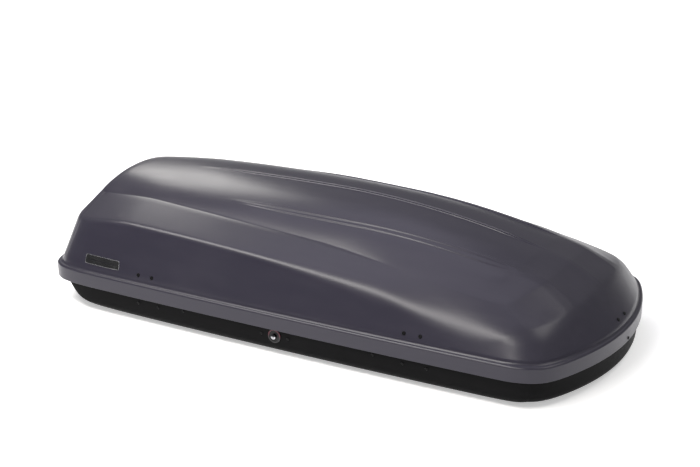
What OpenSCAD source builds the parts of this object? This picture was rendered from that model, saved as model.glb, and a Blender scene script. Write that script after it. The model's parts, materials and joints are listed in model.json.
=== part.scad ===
// Roof cargo box: a hinged lid on a shallow tray, held shut by a key lock with two sliding rods,
// held open by two gas struts and fixed to roof bars through slotted floor plates.
// +X is the nose, -Y the opening side, +Z up. The origin is on the ground below the rim's centre.

/* [Box] */
// Length of the lid over its rim
box_length = 1750; // [1600:10:1900]
// Width of the lid over its rim
box_width = 829; // [790:1:880]
// Height of the lid band's lower edge above the ground
band_bottom = 82; // [80:1:90]
// Height of the upright lid band
band_height = 45; // [42:1:52]
// Thickness of the lid skin
lid_wall = 4; // [3:0.25:4.5]
// Thickness of the tray skin
tray_wall = 4; // [3:0.25:4.5]
// Gap between the lid band and the tray wall
rim_gap = 7; // [6.5:0.25:8]
// Depth of the heel under the tail end of the tray
heel_depth = 6.5; // [5:0.5:8]

/* [Lid form] */
// Rise of the lower shoulder above the ledge at mid length
shoulder_mid = 139; // [130:1:150]
// Rise of the lower shoulder above the ledge at the nose
shoulder_front = 35; // [30:1:45]
// Rise of the lower shoulder above the ledge at the tail
shoulder_rear = 157; // [148:1:166]
// Extra rise of the shoulder in the middle of the nose
nose_rise = 60; // [50:1:66]
// Rise of the upper crease above the ledge at mid length
crease_mid = 177; // [170:1:184]
// Rise of the upper crease above the ledge at the nose
crease_front = 70; // [64:1:76]
// Rise of the upper crease above the ledge at the tail
crease_rear = 193; // [186:1:200]
// Rise of the crest above the ledge
crest_rise = 262; // [254:1:270]
// Distance of the crest behind the middle of the box
crest_back = 40; // [20:5:80]
// Height of the three long flutes
flute_height = 5; // [2:0.5:6]
// Half width of a flute
flute_half = 7; // [5:0.5:9]
// Distance of the outer flutes from the middle
flute_side = 176; // [165:1:185]

/* [Lock and latches] */
// Position of the lock along the box
lock_x = -28; // [-60:1:20]
// Height of the lock above the ground
lock_z = 60; // [60:0.5:62]
// Distance of each latch from the lock
latch_reach = 441; // [400:1:470]
// Distance of each rod guide from the lock
guide_reach = 314; // [260:1:340]
// Distance of the lock rods from the tray's inner face
rod_depth = 26; // [25:0.5:28]
// Diameter of the bolt at each rod's end
bolt_d = 10; // [9.5:0.5:11]
// Diameter of the key plug
plug_d = 11; // [10:0.5:12]

/* [Hinges and struts] */
// Distance of the outer hinges from the middle hinge
hinge_reach = 560; // [500:5:600]
// Diameter of the hinge pins
hinge_pin_d = 5; // [4:0.5:5.5]
// Position of the rear strut along the box
strut_rear_x = -420; // [-450:5:-390]
// Position of the front strut along the box
strut_front_x = 330; // [300:5:350]
// Diameter of the strut cylinders
strut_d = 16; // [15:0.5:17]
// Diameter of the strut rods
strut_rod_d = 8; // [7:0.5:8.5]

/* [Roof bar plates] */
// Distance between the front and rear slots
bar_spacing = 680; // [600:10:700]
// Distance of each slot from the side of the rim
slot_in = 144.5; // [135:0.5:160]
// End to end length of a slot
slot_length = 260; // [200:5:280]
// Width of a slot
slot_width = 9; // [7:0.5:11]

/* [Hidden] */

$fn = 48;
half_l = box_length / 2;
half_w = box_width / 2;
ledge_z = band_bottom + band_height;

// Gap between faces that meet, gap round pieces that turn, overlap of joined forms and overrun of cuts
seat = 0.3;
play = 0.05;
sink = 1;
past = 1;
cut_sides = 12;
bore_sides = 24;

// Rim outline: how far its ends and sides bow inwards, and how square its corners are
side_bow = 12;
nose_bow = 113;
tail_bow = 22.6;
rim_corners = [35, 16, 18, 10.7];

// Tray section
tray_inset = lid_wall + rim_gap;
top_gap = 7;
tray_top = ledge_z - lid_wall - top_gap;
tray_foot = 34;
tail_foot = tray_top - 4;
tail_sweep = 0.8;
foot_span = [0.85, 1];
floor_z = heel_depth;
floor_top = floor_z + tray_wall;
floor_side = 41;
floor_nose = 36;
floor_tail = 174;
floor_tail_bow = 40;
floor_corners = [20, 10, 8, 5.7];
tray_turns = [90, 76, 60, 42, 22, 0];
heel_gap = 6;
heel_in = 2;
heel_turn = 88;
foot_x = 0.4 * half_l;
foot_size = [70, 500];
rib_reach = [-0.55 * half_l, 0.73 * half_l];
rib_size = [16, 5];
rib_pitch = 90;
rib_pairs = 2;

// Lid section
ledge_depth = 9;
ledge_rise = 0.8;
band_round = [1, 3];
foot_round = [2, 3.5];
foot_back = 1;
wall_foot_in = 13.5;
wall_foot_rise = 10;
wall_foot_z = ledge_z + wall_foot_rise;
shoulder_in = 54.3;
shoulder_ends = [91, 37];
shoulder_bows = [50, 20, 8, 28];
shoulder_corners = [26, 12, 14, 9];
shoulder_round = [14, 36];
round_span = [-0.3, 0.8];
round_limit = 0.48;
crease_in = 160;
crease_spread = 54;
crease_ends = [175, 58];
crease_bows = [50, 2, 0, 70];
crease_corners = [12, 7, 20, 12];
tail_droop = 30;
droop_span = [0.63, 0.97];
crease_droop = 0.75;
flute_lane = 0.62;
flute_drift = 0.04;
flute_starts = [-0.7, -0.55];
flute_ramp = 0.3;
flute_end = [0.6, 0.9];
crest_nose_drop = 158;
crest_tail_drop = 38;
dome_steep = 0.55;
dome_fade = [0.2, 0.9];
dome_side_power = 5;
dome_tail_power = 44;

// Spacing of the lines that run along and across the skins
along_steps = 32;
along_crowd = 0.45;
along = [for (i = [0 : along_steps])
    let (t = 2 * i / along_steps - 1)
    t * (1 + along_crowd - along_crowd * t * t)];
lane_in = flute_half * flute_lane / flute_side;
lane_out = flute_half * (1 - flute_lane) / (half_w - crease_in - flute_side);
half_lanes = [lane_in, 0.1, 0.2, 0.3, 0.45, flute_lane - lane_in, flute_lane, flute_lane + lane_out,
    0.78, 0.88, 0.95, 0.985, 1];
lane_count = len(half_lanes);
across = concat([for (i = [lane_count - 1 : -1 : 0]) -half_lanes[i]], [0], half_lanes);
across_steps = len(across) - 1;
ring_count = 2 * (along_steps + across_steps);

// Fasteners
rivet_r = 1.6;
rivet_hole_r = 1.75;
rivet_cut_r = 1.9;
rivet_head_r = 5;
lid_rivet_head_r = 6;
rivet_head_h = 2.2;
rivet_crown = 0.72;
rivet_tail_r = 3;
rivet_tail_h = 1.8;
wall_cut = 12;
deep_cut = 20;

// Lock
module_size = 2;
pinion_teeth = 12;
tooth_root = 1.25;
tooth_tip = 0.9;
tooth_half = [1.9, 0.5];
tooth_slack = 0.85;
rack_lean = 0.1;
pinion_r = module_size * pinion_teeth / 2;
tooth_pitch = PI * module_size;
rack_tip = pinion_r - module_size;
rack_root = pinion_r + tooth_root * module_size;
rod_size = [6, 7];
rod_top = rack_root + rod_size[1];
rod_lift = rack_root + rod_size[1] / 2;
rod_y = -(tray_out(lock_x) - tray_wall) + rod_depth;
rod_z = lock_z + rod_lift;
rack_end = 5.5 * tooth_pitch;
barrel_wall = 2;
barrel_r = plug_d / 2 + barrel_wall;
barrel_cut_r = (barrel_r + seat) / cos(180 / cut_sides);
barrel_out = 8;
plug_out = 7;
plug_back = 0.5;
spindle_r = 4;
spindle_out = 0.2;
keyway = [2.4, 9, 6.4];
screw_r = 1.6;
screw_bore_r = 1.7;
screw_depth = 4;
screw_head = [6, 2.4];
screw_gap = 0.4;
rod_back_gap = 4;
lock_face = -tray_out(lock_x);
lock_back = rod_y - rod_size[0] / 2 - rod_back_gap;
housing_half = 60;
housing_lip = rod_top + 0.5;
housing_skin = 4;
lip_t = 4;
lip_out = 12;
lock_rivet_pitch = 88;
rivet_pocket = 18;
trim_gap = 0.1;
ring_r = 20;
ring_w = 3;
ring_h = 2.5;
escutcheon_h = 1.2;
latch_half = 48;
latch_block = 30;
latch_skin = 5;
latch_cover = 12;
latch_over = 14;
latch_under = 10;
latch_rivet_pitch = 72;
guide_half = 24;
guide_skin = 4;
guide_cheek = 14;
guide_cover = 9;
guide_over = 10;
guide_under = 9;
latch_rivet_z = band_bottom - 18;
guide_rivet_z = band_bottom - 11;
bolt_rest = 5;
bolt_len = 41;
bolt_room = 1;
tongue = [3, 21];
tongue_drop = 14;
tongue_slot = 7;
tongue_room = 3;
keeper_z = ledge_z + 23;
keeper_pitch = 49;
keeper_shift = -13;
keeper_size = [72, 26, 2.5];
keeper_join = 4;
keeper_arm = 12;

// Hinges
hinge_y = half_w - 5.5;
hinge_z = band_bottom - 5;
knuckle_r = 4.5;
knuckle_len = 12;
knuckle_gap = 0.4;
leaf_t = 2;
leaf_half = 2.5 * knuckle_len;
leaf_rivet_half = 18;
leaf_edge = 9;
leaf_gap = 2;
leaf_lip = 3;
tab_drop = 4;
pin_head = 2;
pin_head_r = knuckle_r - 0.5;
base_leaf_low = tray_foot + leaf_gap;
lid_leaf_high = ledge_z - lid_wall - 2 * leaf_gap;
lid_leaf_rivet_z = band_bottom + 0.5 * band_height;
base_leaf_rivet_z = base_leaf_low + leaf_edge;

// Struts, in the plane across the box
strut_foot = [half_w - 44.5, band_bottom - 22];
strut_head = [half_w - 154.5, ledge_z + 98];
strut_run = strut_head - strut_foot;
strut_len = norm(strut_run);
strut_tilt = atan2(-strut_run[0], strut_run[1]);
strut_pin_r = 4;
strut_eye_r = 8.7;
strut_eye_w = 8;
strut_eye_wall = 3.3;
strut_lug_r = 8;
strut_neck = [7, 8];
strut_tube = [14, 118];
strut_tube_ends = [8, 6];
strut_skin = 1.2;
strut_piston = [44, 8];
strut_rod_foot = 50;
ear_t = 3;
ear_r = 7;
ear_gap = 0.5;
pin_over = 1;
foot_plate = [64, 40, 3];
foot_plate_drop = 14;
foot_rivet_half = 22;
head_y = [half_w - 132, half_w - 108];
head_half = 36;
head_t = 4;
head_gap = 0.6;
web_gap = 1;
web_t = 4;
web_reach = [9, 2];
web_rise = [4, 9, 8, 12];
stud_over = 2;
stud_cap = 3;
stud_cap_r = strut_eye_r + 2;

// Nose
nose_rivet_z = ledge_z + 23;
nose_rivet_half = 25;
nose_plate = [80, 26, 3];
peg_half = 8;
peg_x = [half_l - 42, half_l - 27];
peg_low = tray_top - 36;
peg_join = 4;
socket_half = 32;
socket_z = [tray_top - 46, tray_top - 14];
socket_gap = 4;
socket_wall = 5;
socket_floor = 4;
socket_pocket = 14;
socket_rivet_half = 23;
socket_rivet_z = socket_z[0] + 8;
socket_face = half_l - tray_inset - tray_wall - seat - nose_bow * pow(1.2 * socket_half / half_w, 2);
band_rivet_z = band_bottom + 9;
band_plate_size = [30, 2, 24];
band_plate_gap = 0.5;
band_plate_low = 5;

// Name plate
plate_x = -0.737 * half_l;
plate_z = ledge_z + 36;
plate_size = [130, 27, 1.6];
plate_corner = 5;

function ease(a, b, t) = let (u = min(1, max(0, (t - a) / (b - a)))) u * u * (3 - 2 * u);
function through(mid, front, rear, u) =
    mid + (front - rear) / 2 * u + ((front + rear) / 2 - mid) * u * u;

// Point on an outline: form holds front, rear and side reach, end bows, side bows and corner powers
function outline(p, q, form, inset) =
    let (ahead = p >= 0)
    let (reach = (ahead ? form[0] - form[3] * q * q : form[1] - form[4] * q * q) - inset)
    let (side = form[2] - inset - (ahead ? form[5] : form[6]) * p * p)
    let (n = ahead ? form[7] : form[9])
    let (m = ahead ? form[8] : form[10])
    let (d = 1 + pow(abs(p), n) * pow(abs(q), m))
    [reach * p / pow(d, 1 / n), side * q / pow(d, 1 / m)];

rim_form = concat([half_l, half_l, half_w, nose_bow, tail_bow, side_bow, side_bow], rim_corners);
shoulder_form = concat([half_l - shoulder_ends[0], half_l - shoulder_ends[1], half_w - shoulder_in],
    shoulder_bows, shoulder_corners);
crease_reach = [half_l - crease_ends[0], half_l - crease_ends[1]];
function crease_side(p) = half_w - crease_in + crease_spread * ease(0, 1, p);
function crease_form(p) =
    concat([crease_reach[0], crease_reach[1], crease_side(p)], crease_bows, crease_corners);

// Lane s runs from -1 to 1 across the lid and follows the flutes
function lane(p, s) =
    let (edge = (flute_side - flute_drift * crease_reach[0] * p) / crease_side(p))
    abs(s) <= flute_lane ? s / flute_lane * edge
        : sign(s) * (edge + (abs(s) - flute_lane) / (1 - flute_lane) * (1 - edge));

ring = concat(
    [for (i = [0 : along_steps - 1]) [along[i], -1]],
    [for (j = [0 : across_steps - 1]) [1, lane(1, across[j])]],
    [for (i = [along_steps : -1 : 1]) [along[i], 1]],
    [for (j = [across_steps : -1 : 1]) [-1, lane(-1, across[j])]]);

function droop(u) = tail_droop * ease(droop_span[0], droop_span[1], -u);
function shoulder_z(x, y, ahead) =
    let (u = x / half_l)
    let (v = y / shoulder_form[2])
    ledge_z + through(shoulder_mid, shoulder_front, shoulder_rear, u) - droop(u)
        + (ahead ? nose_rise * (1 - v * v) : 0);
function crease_z(x) =
    let (u = x / half_l)
    ledge_z + through(crease_mid, crease_front, crease_rear, u) - crease_droop * droop(u);
function crest_z(x) =
    let (run = x + crest_back)
    let (part = run > 0 ? run / (half_l + crest_back) : run / (half_l - crest_back))
    ledge_z + crest_rise - (run > 0 ? crest_nose_drop : crest_tail_drop) * part * part;
function dome_point(p, q, inset, drop) =
    let (at = outline(p, q, crease_form(p), inset))
    let (steep = dome_steep * (1 - ease(dome_fade[0], dome_fade[1], p)))
    let (over = (1 - steep) * q * q + steep * pow(abs(q), dome_side_power))
    let (tail = p < 0 ? pow(abs(p), dome_tail_power) : 0)
    let (low = 1 - (1 - over) * (1 - tail))
    let (top = crest_z(at[0]))
    [at[0], at[1], top - (top - crease_z(at[0])) * low - drop];
function flute_lift(p, s) =
    let (middle = abs(s) < lane_in / 2)
    let (outer = abs(abs(s) - flute_lane) < lane_in / 2)
    let (start = flute_starts[middle ? 0 : 1])
    let (lift = flute_height * ease(start, start + flute_ramp, p))
    middle || outer ? lift * (1 - ease(flute_end[0], flute_end[1], p)) : 0;

// Tray section at a turn of its rounded lower edge, 0 upright wall and 90 flat floor
function tray_point(pq, turn, inset, rise) =
    let (out = 1 - cos(turn))
    let (tail = half_l - floor_tail * pow(out, tail_sweep))
    let (corners = rim_corners + (floor_corners - rim_corners) * out)
    let (form = concat([half_l - out * floor_nose, tail, half_w - out * floor_side,
        nose_bow, tail_bow + out * floor_tail_bow, side_bow, side_bow], corners))
    let (at = outline(pq[0], pq[1], form, tray_inset + inset))
    let (foot = tray_foot + (tail_foot - tray_foot) * ease(foot_span[0], foot_span[1], -pq[0]))
    [at[0], at[1], foot - (foot - floor_z - rise) * sin(turn)];

// Half width of the upright tray wall's outer face, and its slope along the box
function rim_out(x, inset) =
    let (reach = half_l - inset - (x > 0 ? nose_bow : tail_bow))
    half_w - inset - side_bow * pow(x / reach, 2);
function tray_out(x) = rim_out(x, tray_inset);
function tray_slope(x) = (tray_out(x + 1) - tray_out(x - 1)) / 2;

// Half width of the lid's side wall at a height, and its slopes
function wall_lean(x) =
    let (form = shoulder_form)
    let (p = x > 0 ? x / (form[0] - form[3]) : x / (form[1] - form[4]))
    let (high = form[2] - (x > 0 ? form[5] : form[6]) * p * p)
    [rim_out(x, wall_foot_in), high, shoulder_z(x, high, x >= 0)];
function lid_out(x, z) =
    let (w = wall_lean(x))
    w[0] + (w[1] - w[0]) * (z - wall_foot_z) / (w[2] - wall_foot_z);
function lid_tilt(x) = let (w = wall_lean(x)) atan((w[0] - w[1]) / (w[2] - wall_foot_z));
function skin_depth(tilt) = lid_wall * cos(tilt) + lid_wall / 2 * sin(tilt);
function lid_slope(x, z) = (lid_out(x + 1, z) - lid_out(x - 1, z)) / 2;

// Inner face of the lid between the crease and the shoulder
function lid_under(x, y) =
    let (form = crease_form(x / half_l))
    let (p = x > 0 ? x / (form[0] - form[3]) : x / (form[1] - form[4]))
    let (edge = crease_side(p) - (x > 0 ? form[5] : form[6]) * p * p)
    let (w = wall_lean(x))
    let (part = (y + lid_wall - edge) / (w[1] - edge))
    crease_z(x) + (w[2] - crease_z(x)) * part - lid_wall * (1 - part / 2);

// Nose wall of the lid in the middle of the box
nose_low = half_l - wall_foot_in;
nose_high = [shoulder_form[0], shoulder_z(shoulder_form[0], 0, true)];
nose_tilt = atan((nose_low - nose_high[0]) / (nose_high[1] - wall_foot_z));
function nose_out(z) = nose_low - (z - wall_foot_z) * tan(nose_tilt);

// Closed skin over a chain of rings, with a mesh or a flat face at each end
module skin(rings, first_mesh, last_mesh) {
    n = ring_count;
    count = len(rings);
    inner_base = n * count;
    mesh_size = (along_steps - 1) * (across_steps - 1);
    points = concat([for (r = rings) for (v = r) v], first_mesh, last_mesh);
    sides = [for (k = [0 : count - 2]) for (i = [0 : n - 1])
        let (a = k * n + i, b = k * n + (i + 1) % n)
        for (f = [[a, a + n, b + n], [a, b + n, b]]) f];
    first = len(first_mesh) == 0 ? [[for (i = [0 : n - 1]) i]]
        : [for (f = mesh_faces(0, inner_base)) [f[2], f[1], f[0]]];
    last = len(last_mesh) == 0 ? [[for (i = [n - 1 : -1 : 0]) (count - 1) * n + i]]
        : mesh_faces((count - 1) * n, inner_base + (len(first_mesh) == 0 ? 0 : mesh_size));
    polyhedron(points, concat(sides, first, last), convexity = 6);
}

function rim_index(i, j) =
    j == 0 && i < along_steps ? i
        : i == along_steps && j < across_steps ? along_steps + j
        : j == across_steps && i > 0 ? 2 * along_steps + across_steps - i
        : 2 * along_steps + 2 * across_steps - j;
function mesh_index(i, j, rim, base) =
    i == 0 || j == 0 || i == along_steps || j == across_steps
        ? rim + rim_index(i, j) % ring_count
        : base + (i - 1) * (across_steps - 1) + j - 1;
function mesh_faces(rim, base) = [
    for (i = [0 : along_steps - 1]) for (j = [0 : across_steps - 1])
        let (a = mesh_index(i, j, rim, base), b = mesh_index(i, j + 1, rim, base))
        let (c = mesh_index(i + 1, j + 1, rim, base), d = mesh_index(i + 1, j, rim, base))
        for (f = [[a, b, c], [a, c, d]]) f];

// Lid rings, from the inner crease down to the band and up the outside to the outer crease
function rim_ring(inset, z) = [for (v = ring) concat(outline(v[0], v[1], rim_form, inset), [z])];
function shoulder_at(v, inset, drop) =
    let (at = outline(v[0], v[1], shoulder_form, 0))
    let (put = outline(v[0], v[1], shoulder_form, inset))
    [put[0], put[1], shoulder_z(at[0], at[1], v[0] >= 0) - drop];
function toward(a, b, reach) = a + (b - a) * min(round_limit, reach / norm(b - a));
function shoulder_ring(t, inset, drop) = [for (v = ring)
    let (low = concat(outline(v[0], v[1], rim_form, wall_foot_in + inset), [wall_foot_z]))
    let (mid = shoulder_at(v, inset, drop))
    let (high = dome_point(v[0], v[1], inset, drop * 2))
    let (reach = shoulder_round[0] + shoulder_round[1] * ease(round_span[0], round_span[1], v[0]))
    let (a = toward(mid, low, reach), c = toward(mid, high, reach))
    a * (1 - t) * (1 - t) + mid * 2 * t * (1 - t) + c * t * t];
function crease_ring(inset, drop) = [for (v = ring) dome_point(v[0], v[1], inset, drop)];
function dome_mesh(inset, drop, flutes) = [
    for (i = [1 : along_steps - 1]) for (j = [1 : across_steps - 1])
        dome_point(along[i], lane(along[i], across[j]), inset, drop)
            + [0, 0, flutes ? flute_lift(along[i], across[j]) : 0]];

module rivet(grip, head = rivet_head_r) {
    translate([0, 0, seat]) cylinder(h = rivet_head_h, r1 = head, r2 = rivet_crown * head);
    translate([0, 0, -grip - sink]) cylinder(h = grip + 2 * sink, r = rivet_r);
    translate([0, 0, -grip - seat - rivet_tail_h]) cylinder(h = rivet_tail_h, r = rivet_tail_r);
}

module rivet_cut(depth) {
    translate([0, 0, -depth]) cylinder(h = depth + 2 * past, r = rivet_cut_r, $fn = cut_sides);
}

module rivet_bore(depth) {
    translate([0, 0, -depth]) cylinder(h = depth + 2 * past, r = rivet_hole_r, $fn = bore_sides);
}

// Local frames with +Z pointing out of a wall's outer face
module on_near_wall(x, z) {
    translate([x, -tray_out(x), z])
        rotate([0, 0, -atan(tray_slope(x))]) rotate([90, 0, 0]) children();
}

module on_far_wall(x, z) {
    translate([x, tray_out(x), z])
        rotate([0, 0, atan(tray_slope(x))]) rotate([-90, 0, 0]) children();
}

module on_lid_wall(x, z) {
    translate([x, -lid_out(x, z), z])
        rotate([0, 0, -atan(lid_slope(x, z))]) rotate([90 - lid_tilt(x), 0, 0]) children();
}

module on_nose_wall(y, z) {
    translate([nose_out(z) - nose_bow * pow(y / half_w, 2), y, z])
        rotate([0, 90 - nose_tilt, 0]) children();
}

module on_nose_band(z) {
    translate([half_l, 0, z]) rotate([0, 90, 0]) children();
}

module on_tray_nose(y, z) {
    translate([half_l - tray_inset - nose_bow * pow(y / half_w, 2), y, z])
        rotate([0, 90, 0]) children();
}

module along_y(y, h, r) {
    translate([lock_x, y, lock_z]) rotate([-90, 0, 0]) cylinder(h = h, r = r);
}

module along_x(x, y, z, h, r) {
    translate([x, y, z]) rotate([0, 90, 0]) cylinder(h = h, r = r);
}

// Fastener positions
function latch_x(end) = lock_x + end * latch_reach;
function guide_x(end) = lock_x + end * guide_reach;
function keeper_x(end) = latch_x(end) + keeper_shift;
function keeper_rivet_xs(end) = [for (i = [-1, 1]) keeper_x(end) + i * keeper_pitch / 2];
hinge_xs = [-hinge_reach, 0, hinge_reach];
strut_xs = [strut_rear_x, strut_front_x];
slot_spread = box_width - 2 * slot_in;
slot_margin = 3;
bar_plate_end = 36;
bar_plate_half = 28;
bar_plate_t = 3;
bar_rivet_out = 22;
bar_rivet_side = 18;
plate_rivets = [for (i = [-1, 1]) for (j = [-1, 1])
    [i * (slot_length / 2 + bar_rivet_out), j * bar_rivet_side]];
heel_front = -(bar_spacing / 2 + slot_length / 2 + bar_plate_end + heel_gap);

module bar_places(ends, sides) {
    for (i = ends) for (j = sides)
        translate([i * bar_spacing / 2, j * slot_spread / 2, floor_top]) children();
}

module base_tray_cuts() {
    bar_places([-1, 1], [-1, 1]) {
        translate([-slot_length / 2 - slot_margin, -slot_width / 2 - slot_margin, -deep_cut])
            cube([slot_length + 2 * slot_margin, slot_width + 2 * slot_margin, 2 * deep_cut]);
        for (v = plate_rivets) translate([v[0], v[1], 0]) rivet_cut(deep_cut);
    }
    for (x = hinge_xs) for (i = [-1, 1])
        on_far_wall(x + i * leaf_rivet_half, base_leaf_rivet_z) rivet_cut(wall_cut);
    for (x = strut_xs) for (i = [-1, 1])
        on_far_wall(x + i * foot_rivet_half, strut_foot[1]) rivet_cut(wall_cut);
    for (i = [-1, 1]) {
        on_near_wall(lock_x + i * lock_rivet_pitch / 2, lock_z) rivet_cut(wall_cut);
        on_near_wall(guide_x(i), guide_rivet_z) rivet_cut(wall_cut);
        for (j = [-1, 1])
            on_near_wall(latch_x(i) + j * latch_rivet_pitch / 2, latch_rivet_z) rivet_cut(wall_cut);
        on_tray_nose(i * socket_rivet_half, socket_rivet_z) rivet_cut(wall_cut);
    }
    on_near_wall(lock_x, lock_z) translate([0, 0, -wall_cut])
        cylinder(h = deep_cut, r = barrel_cut_r, $fn = cut_sides);
}

// Shallow tray with rounded lower edges, a heel under its tail and a seat under its nose end
module base_tray() color([0.05, 0.05, 0.055]) {
    last = len(tray_turns) - 1;
    difference() {
        union() {
            skin(concat(
                [for (t = tray_turns) [for (v = ring) tray_point(v, t, 0, 0)]],
                [rim_ring(tray_inset, tray_top), rim_ring(tray_inset + tray_wall, tray_top)],
                [for (i = [last : -1 : 0])
                    [for (v = ring) tray_point(v, tray_turns[i], tray_wall, tray_wall)]]),
                [], []);
            intersection() {
                linear_extrude(height = heel_depth + sink)
                    polygon([for (v = ring)
                        let (at = tray_point(v, heel_turn, heel_in, 0)) [at[0], at[1]]]);
                translate([-half_l, -half_w, -sink])
                    cube([half_l + heel_front, box_width, heel_depth + 3 * sink]);
            }
            translate([foot_x - foot_size[0] / 2, -foot_size[1] / 2, 0])
                cube([foot_size[0], foot_size[1], heel_depth + sink]);
            for (i = [-rib_pairs : rib_pairs])
                translate([rib_reach[0], i * rib_pitch - rib_size[0] / 2, floor_top - sink])
                    cube([rib_reach[1] - rib_reach[0], rib_size[0], rib_size[1] + sink]);
        }
        base_tray_cuts();
    }
}

// Steel plate with a round-ended slot for a roof bar clamp
module bar_plate() color([0.62, 0.63, 0.65]) difference() {
    run = slot_length - slot_width;
    deep = bar_plate_t + 2 * past;
    translate([-slot_length / 2 - bar_plate_end, -bar_plate_half, 0])
        cube([slot_length + 2 * bar_plate_end, 2 * bar_plate_half, bar_plate_t]);
    translate([-run / 2, -slot_width / 2, -past]) cube([run, slot_width, deep]);
    for (i = [-1, 1]) translate([i * run / 2, 0, -past]) cylinder(h = deep, r = slot_width / 2);
    for (v = plate_rivets) translate([v[0], v[1], bar_plate_t]) rivet_bore(deep);
}

module bar_plate_front_near() bar_places([1], [-1]) bar_plate();
module bar_plate_front_far() bar_places([1], [1]) bar_plate();
module bar_plate_rear_near() bar_places([-1], [-1]) bar_plate();
module bar_plate_rear_far() bar_places([-1], [1]) bar_plate();

module bar_plate_rivets() color([0.55, 0.55, 0.57]) bar_places([-1, 1], [-1, 1])
    for (v = plate_rivets) translate([v[0], v[1], bar_plate_t]) rivet(bar_plate_t + tray_wall);

// Knuckles of a hinge: even places belong to the base leaf, odd ones to the lid leaf
module knuckles(x, places) {
    for (i = places)
        along_x(x - leaf_half + i * knuckle_len + knuckle_gap / 2, hinge_y, hinge_z,
            knuckle_len - knuckle_gap, knuckle_r);
}

module knuckle_bore(x) {
    along_x(x - leaf_half - past, hinge_y, hinge_z, 2 * (leaf_half + past), hinge_pin_d / 2 + play);
}

function tray_in(x, half) = min(tray_out(x - half), tray_out(x + half)) - tray_wall - seat;
function base_leaf_y(x) = max(tray_out(x - leaf_half), tray_out(x), tray_out(x + leaf_half)) + seat;

module base_leaf(x) color([0.35, 0.36, 0.38]) difference() {
    face = base_leaf_y(x);
    tab_z = hinge_z - knuckle_r - tab_drop;
    union() {
        knuckles(x, [0, 2, 4]);
        translate([x - leaf_half, face, base_leaf_low])
            cube([2 * leaf_half, leaf_t, hinge_z - knuckle_r - leaf_gap - base_leaf_low]);
        for (i = [0, 2, 4])
            translate([x - leaf_half + i * knuckle_len + knuckle_gap / 2, face, tab_z])
                cube([knuckle_len - knuckle_gap, hinge_y - face, tab_drop + sink]);
    }
    knuckle_bore(x);
    for (i = [-1, 1]) on_far_wall(x + i * leaf_rivet_half, base_leaf_rivet_z)
        translate([0, 0, leaf_t]) rivet_bore(wall_cut);
}

module base_leaf_rear() base_leaf(hinge_xs[0]);
module base_leaf_middle() base_leaf(hinge_xs[1]);
module base_leaf_front() base_leaf(hinge_xs[2]);

module hinge_pin(x) color([0.7, 0.7, 0.72]) {
    along_x(x - leaf_half - sink, hinge_y, hinge_z, 2 * (leaf_half + sink), hinge_pin_d / 2);
    along_x(x - leaf_half - pin_head, hinge_y, hinge_z, pin_head - seat, pin_head_r);
}

module hinge_pin_rear() hinge_pin(hinge_xs[0]);
module hinge_pin_middle() hinge_pin(hinge_xs[1]);
module hinge_pin_front() hinge_pin(hinge_xs[2]);

module base_leaf_rivets() color([0.5, 0.5, 0.52]) {
    for (x = hinge_xs) for (i = [-1, 1]) {
        at = x + i * leaf_rivet_half;
        lift = base_leaf_y(x) + leaf_t - tray_out(at);
        on_far_wall(at, base_leaf_rivet_z) translate([0, 0, lift]) rivet(tray_wall + lift);
    }
}

function lid_leaf_y(x) =
    min(rim_out(x - leaf_half, lid_wall), rim_out(x + leaf_half, lid_wall)) - seat - leaf_t;

module lid_leaf(x) color([0.35, 0.36, 0.38]) difference() {
    face = lid_leaf_y(x);
    tab = knuckle_len - knuckle_gap;
    union() {
        knuckles(x, [1, 3]);
        translate([x - leaf_half, face, band_bottom + leaf_lip])
            cube([2 * leaf_half, leaf_t, lid_leaf_high - band_bottom - leaf_lip]);
        for (i = [1, 3]) translate([x - leaf_half + i * knuckle_len + knuckle_gap / 2, face, hinge_z]) {
            cube([tab, leaf_t, band_bottom + leaf_lip + sink - hinge_z]);
            cube([tab, hinge_y - face, band_bottom - seat - hinge_z]);
        }
    }
    knuckle_bore(x);
    for (i = [-1, 1])
        translate([x + i * leaf_rivet_half, half_w, lid_leaf_rivet_z])
            rotate([-90, 0, 0]) rivet_bore(deep_cut);
}

module lid_leaf_rear() lid_leaf(hinge_xs[0]);
module lid_leaf_middle() lid_leaf(hinge_xs[1]);
module lid_leaf_front() lid_leaf(hinge_xs[2]);

module lid_leaf_rivets() color([0.1, 0.1, 0.11]) {
    for (x = hinge_xs) for (i = [-1, 1]) {
        at = x + i * leaf_rivet_half;
        out = rim_out(at, 0);
        translate([at, out, lid_leaf_rivet_z]) rotate([-90, 0, 0]) rivet(out - lid_leaf_y(x));
    }
}

// Lock: a plug in a barrel turns a pinion between two toothed rods
module lock_housing() color([0.12, 0.12, 0.13]) {
    face = -tray_in(lock_x, housing_half);
    difference() {
        union() {
            translate([lock_x - housing_half, face, lock_z - housing_lip - lip_t])
                cube([2 * housing_half, lock_back - face, 2 * (housing_lip + lip_t)]);
            for (z = [housing_lip, -housing_lip - lip_t])
                translate([lock_x - housing_half / 2, lock_back - sink, lock_z + z])
                    cube([housing_half, sink + lip_out, lip_t]);
        }
        along_y(face - past, lock_back - face + 2 * past, barrel_r + play);
        for (i = [-1, 1]) translate([lock_x + i * lock_rivet_pitch / 2, 0, lock_z]) {
            translate([-rivet_pocket / 2, face + housing_skin, -rivet_pocket / 2])
                cube([rivet_pocket, lock_back - face, rivet_pocket]);
            translate([0, face - past, 0]) rotate([-90, 0, 0])
                cylinder(h = housing_skin + 2 * past, r = rivet_hole_r);
        }
    }
}

module lock_rivets() color([0.1, 0.1, 0.11]) {
    face = -tray_in(lock_x, housing_half);
    for (i = [-1, 1]) {
        at = lock_x + i * lock_rivet_pitch / 2;
        on_near_wall(at, lock_z) rivet(face + housing_skin + tray_out(at));
    }
}

module collar(outer, inner, y, h) {
    difference() {
        along_y(y, h, outer);
        along_y(y - past, h + 2 * past, inner);
    }
}

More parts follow.
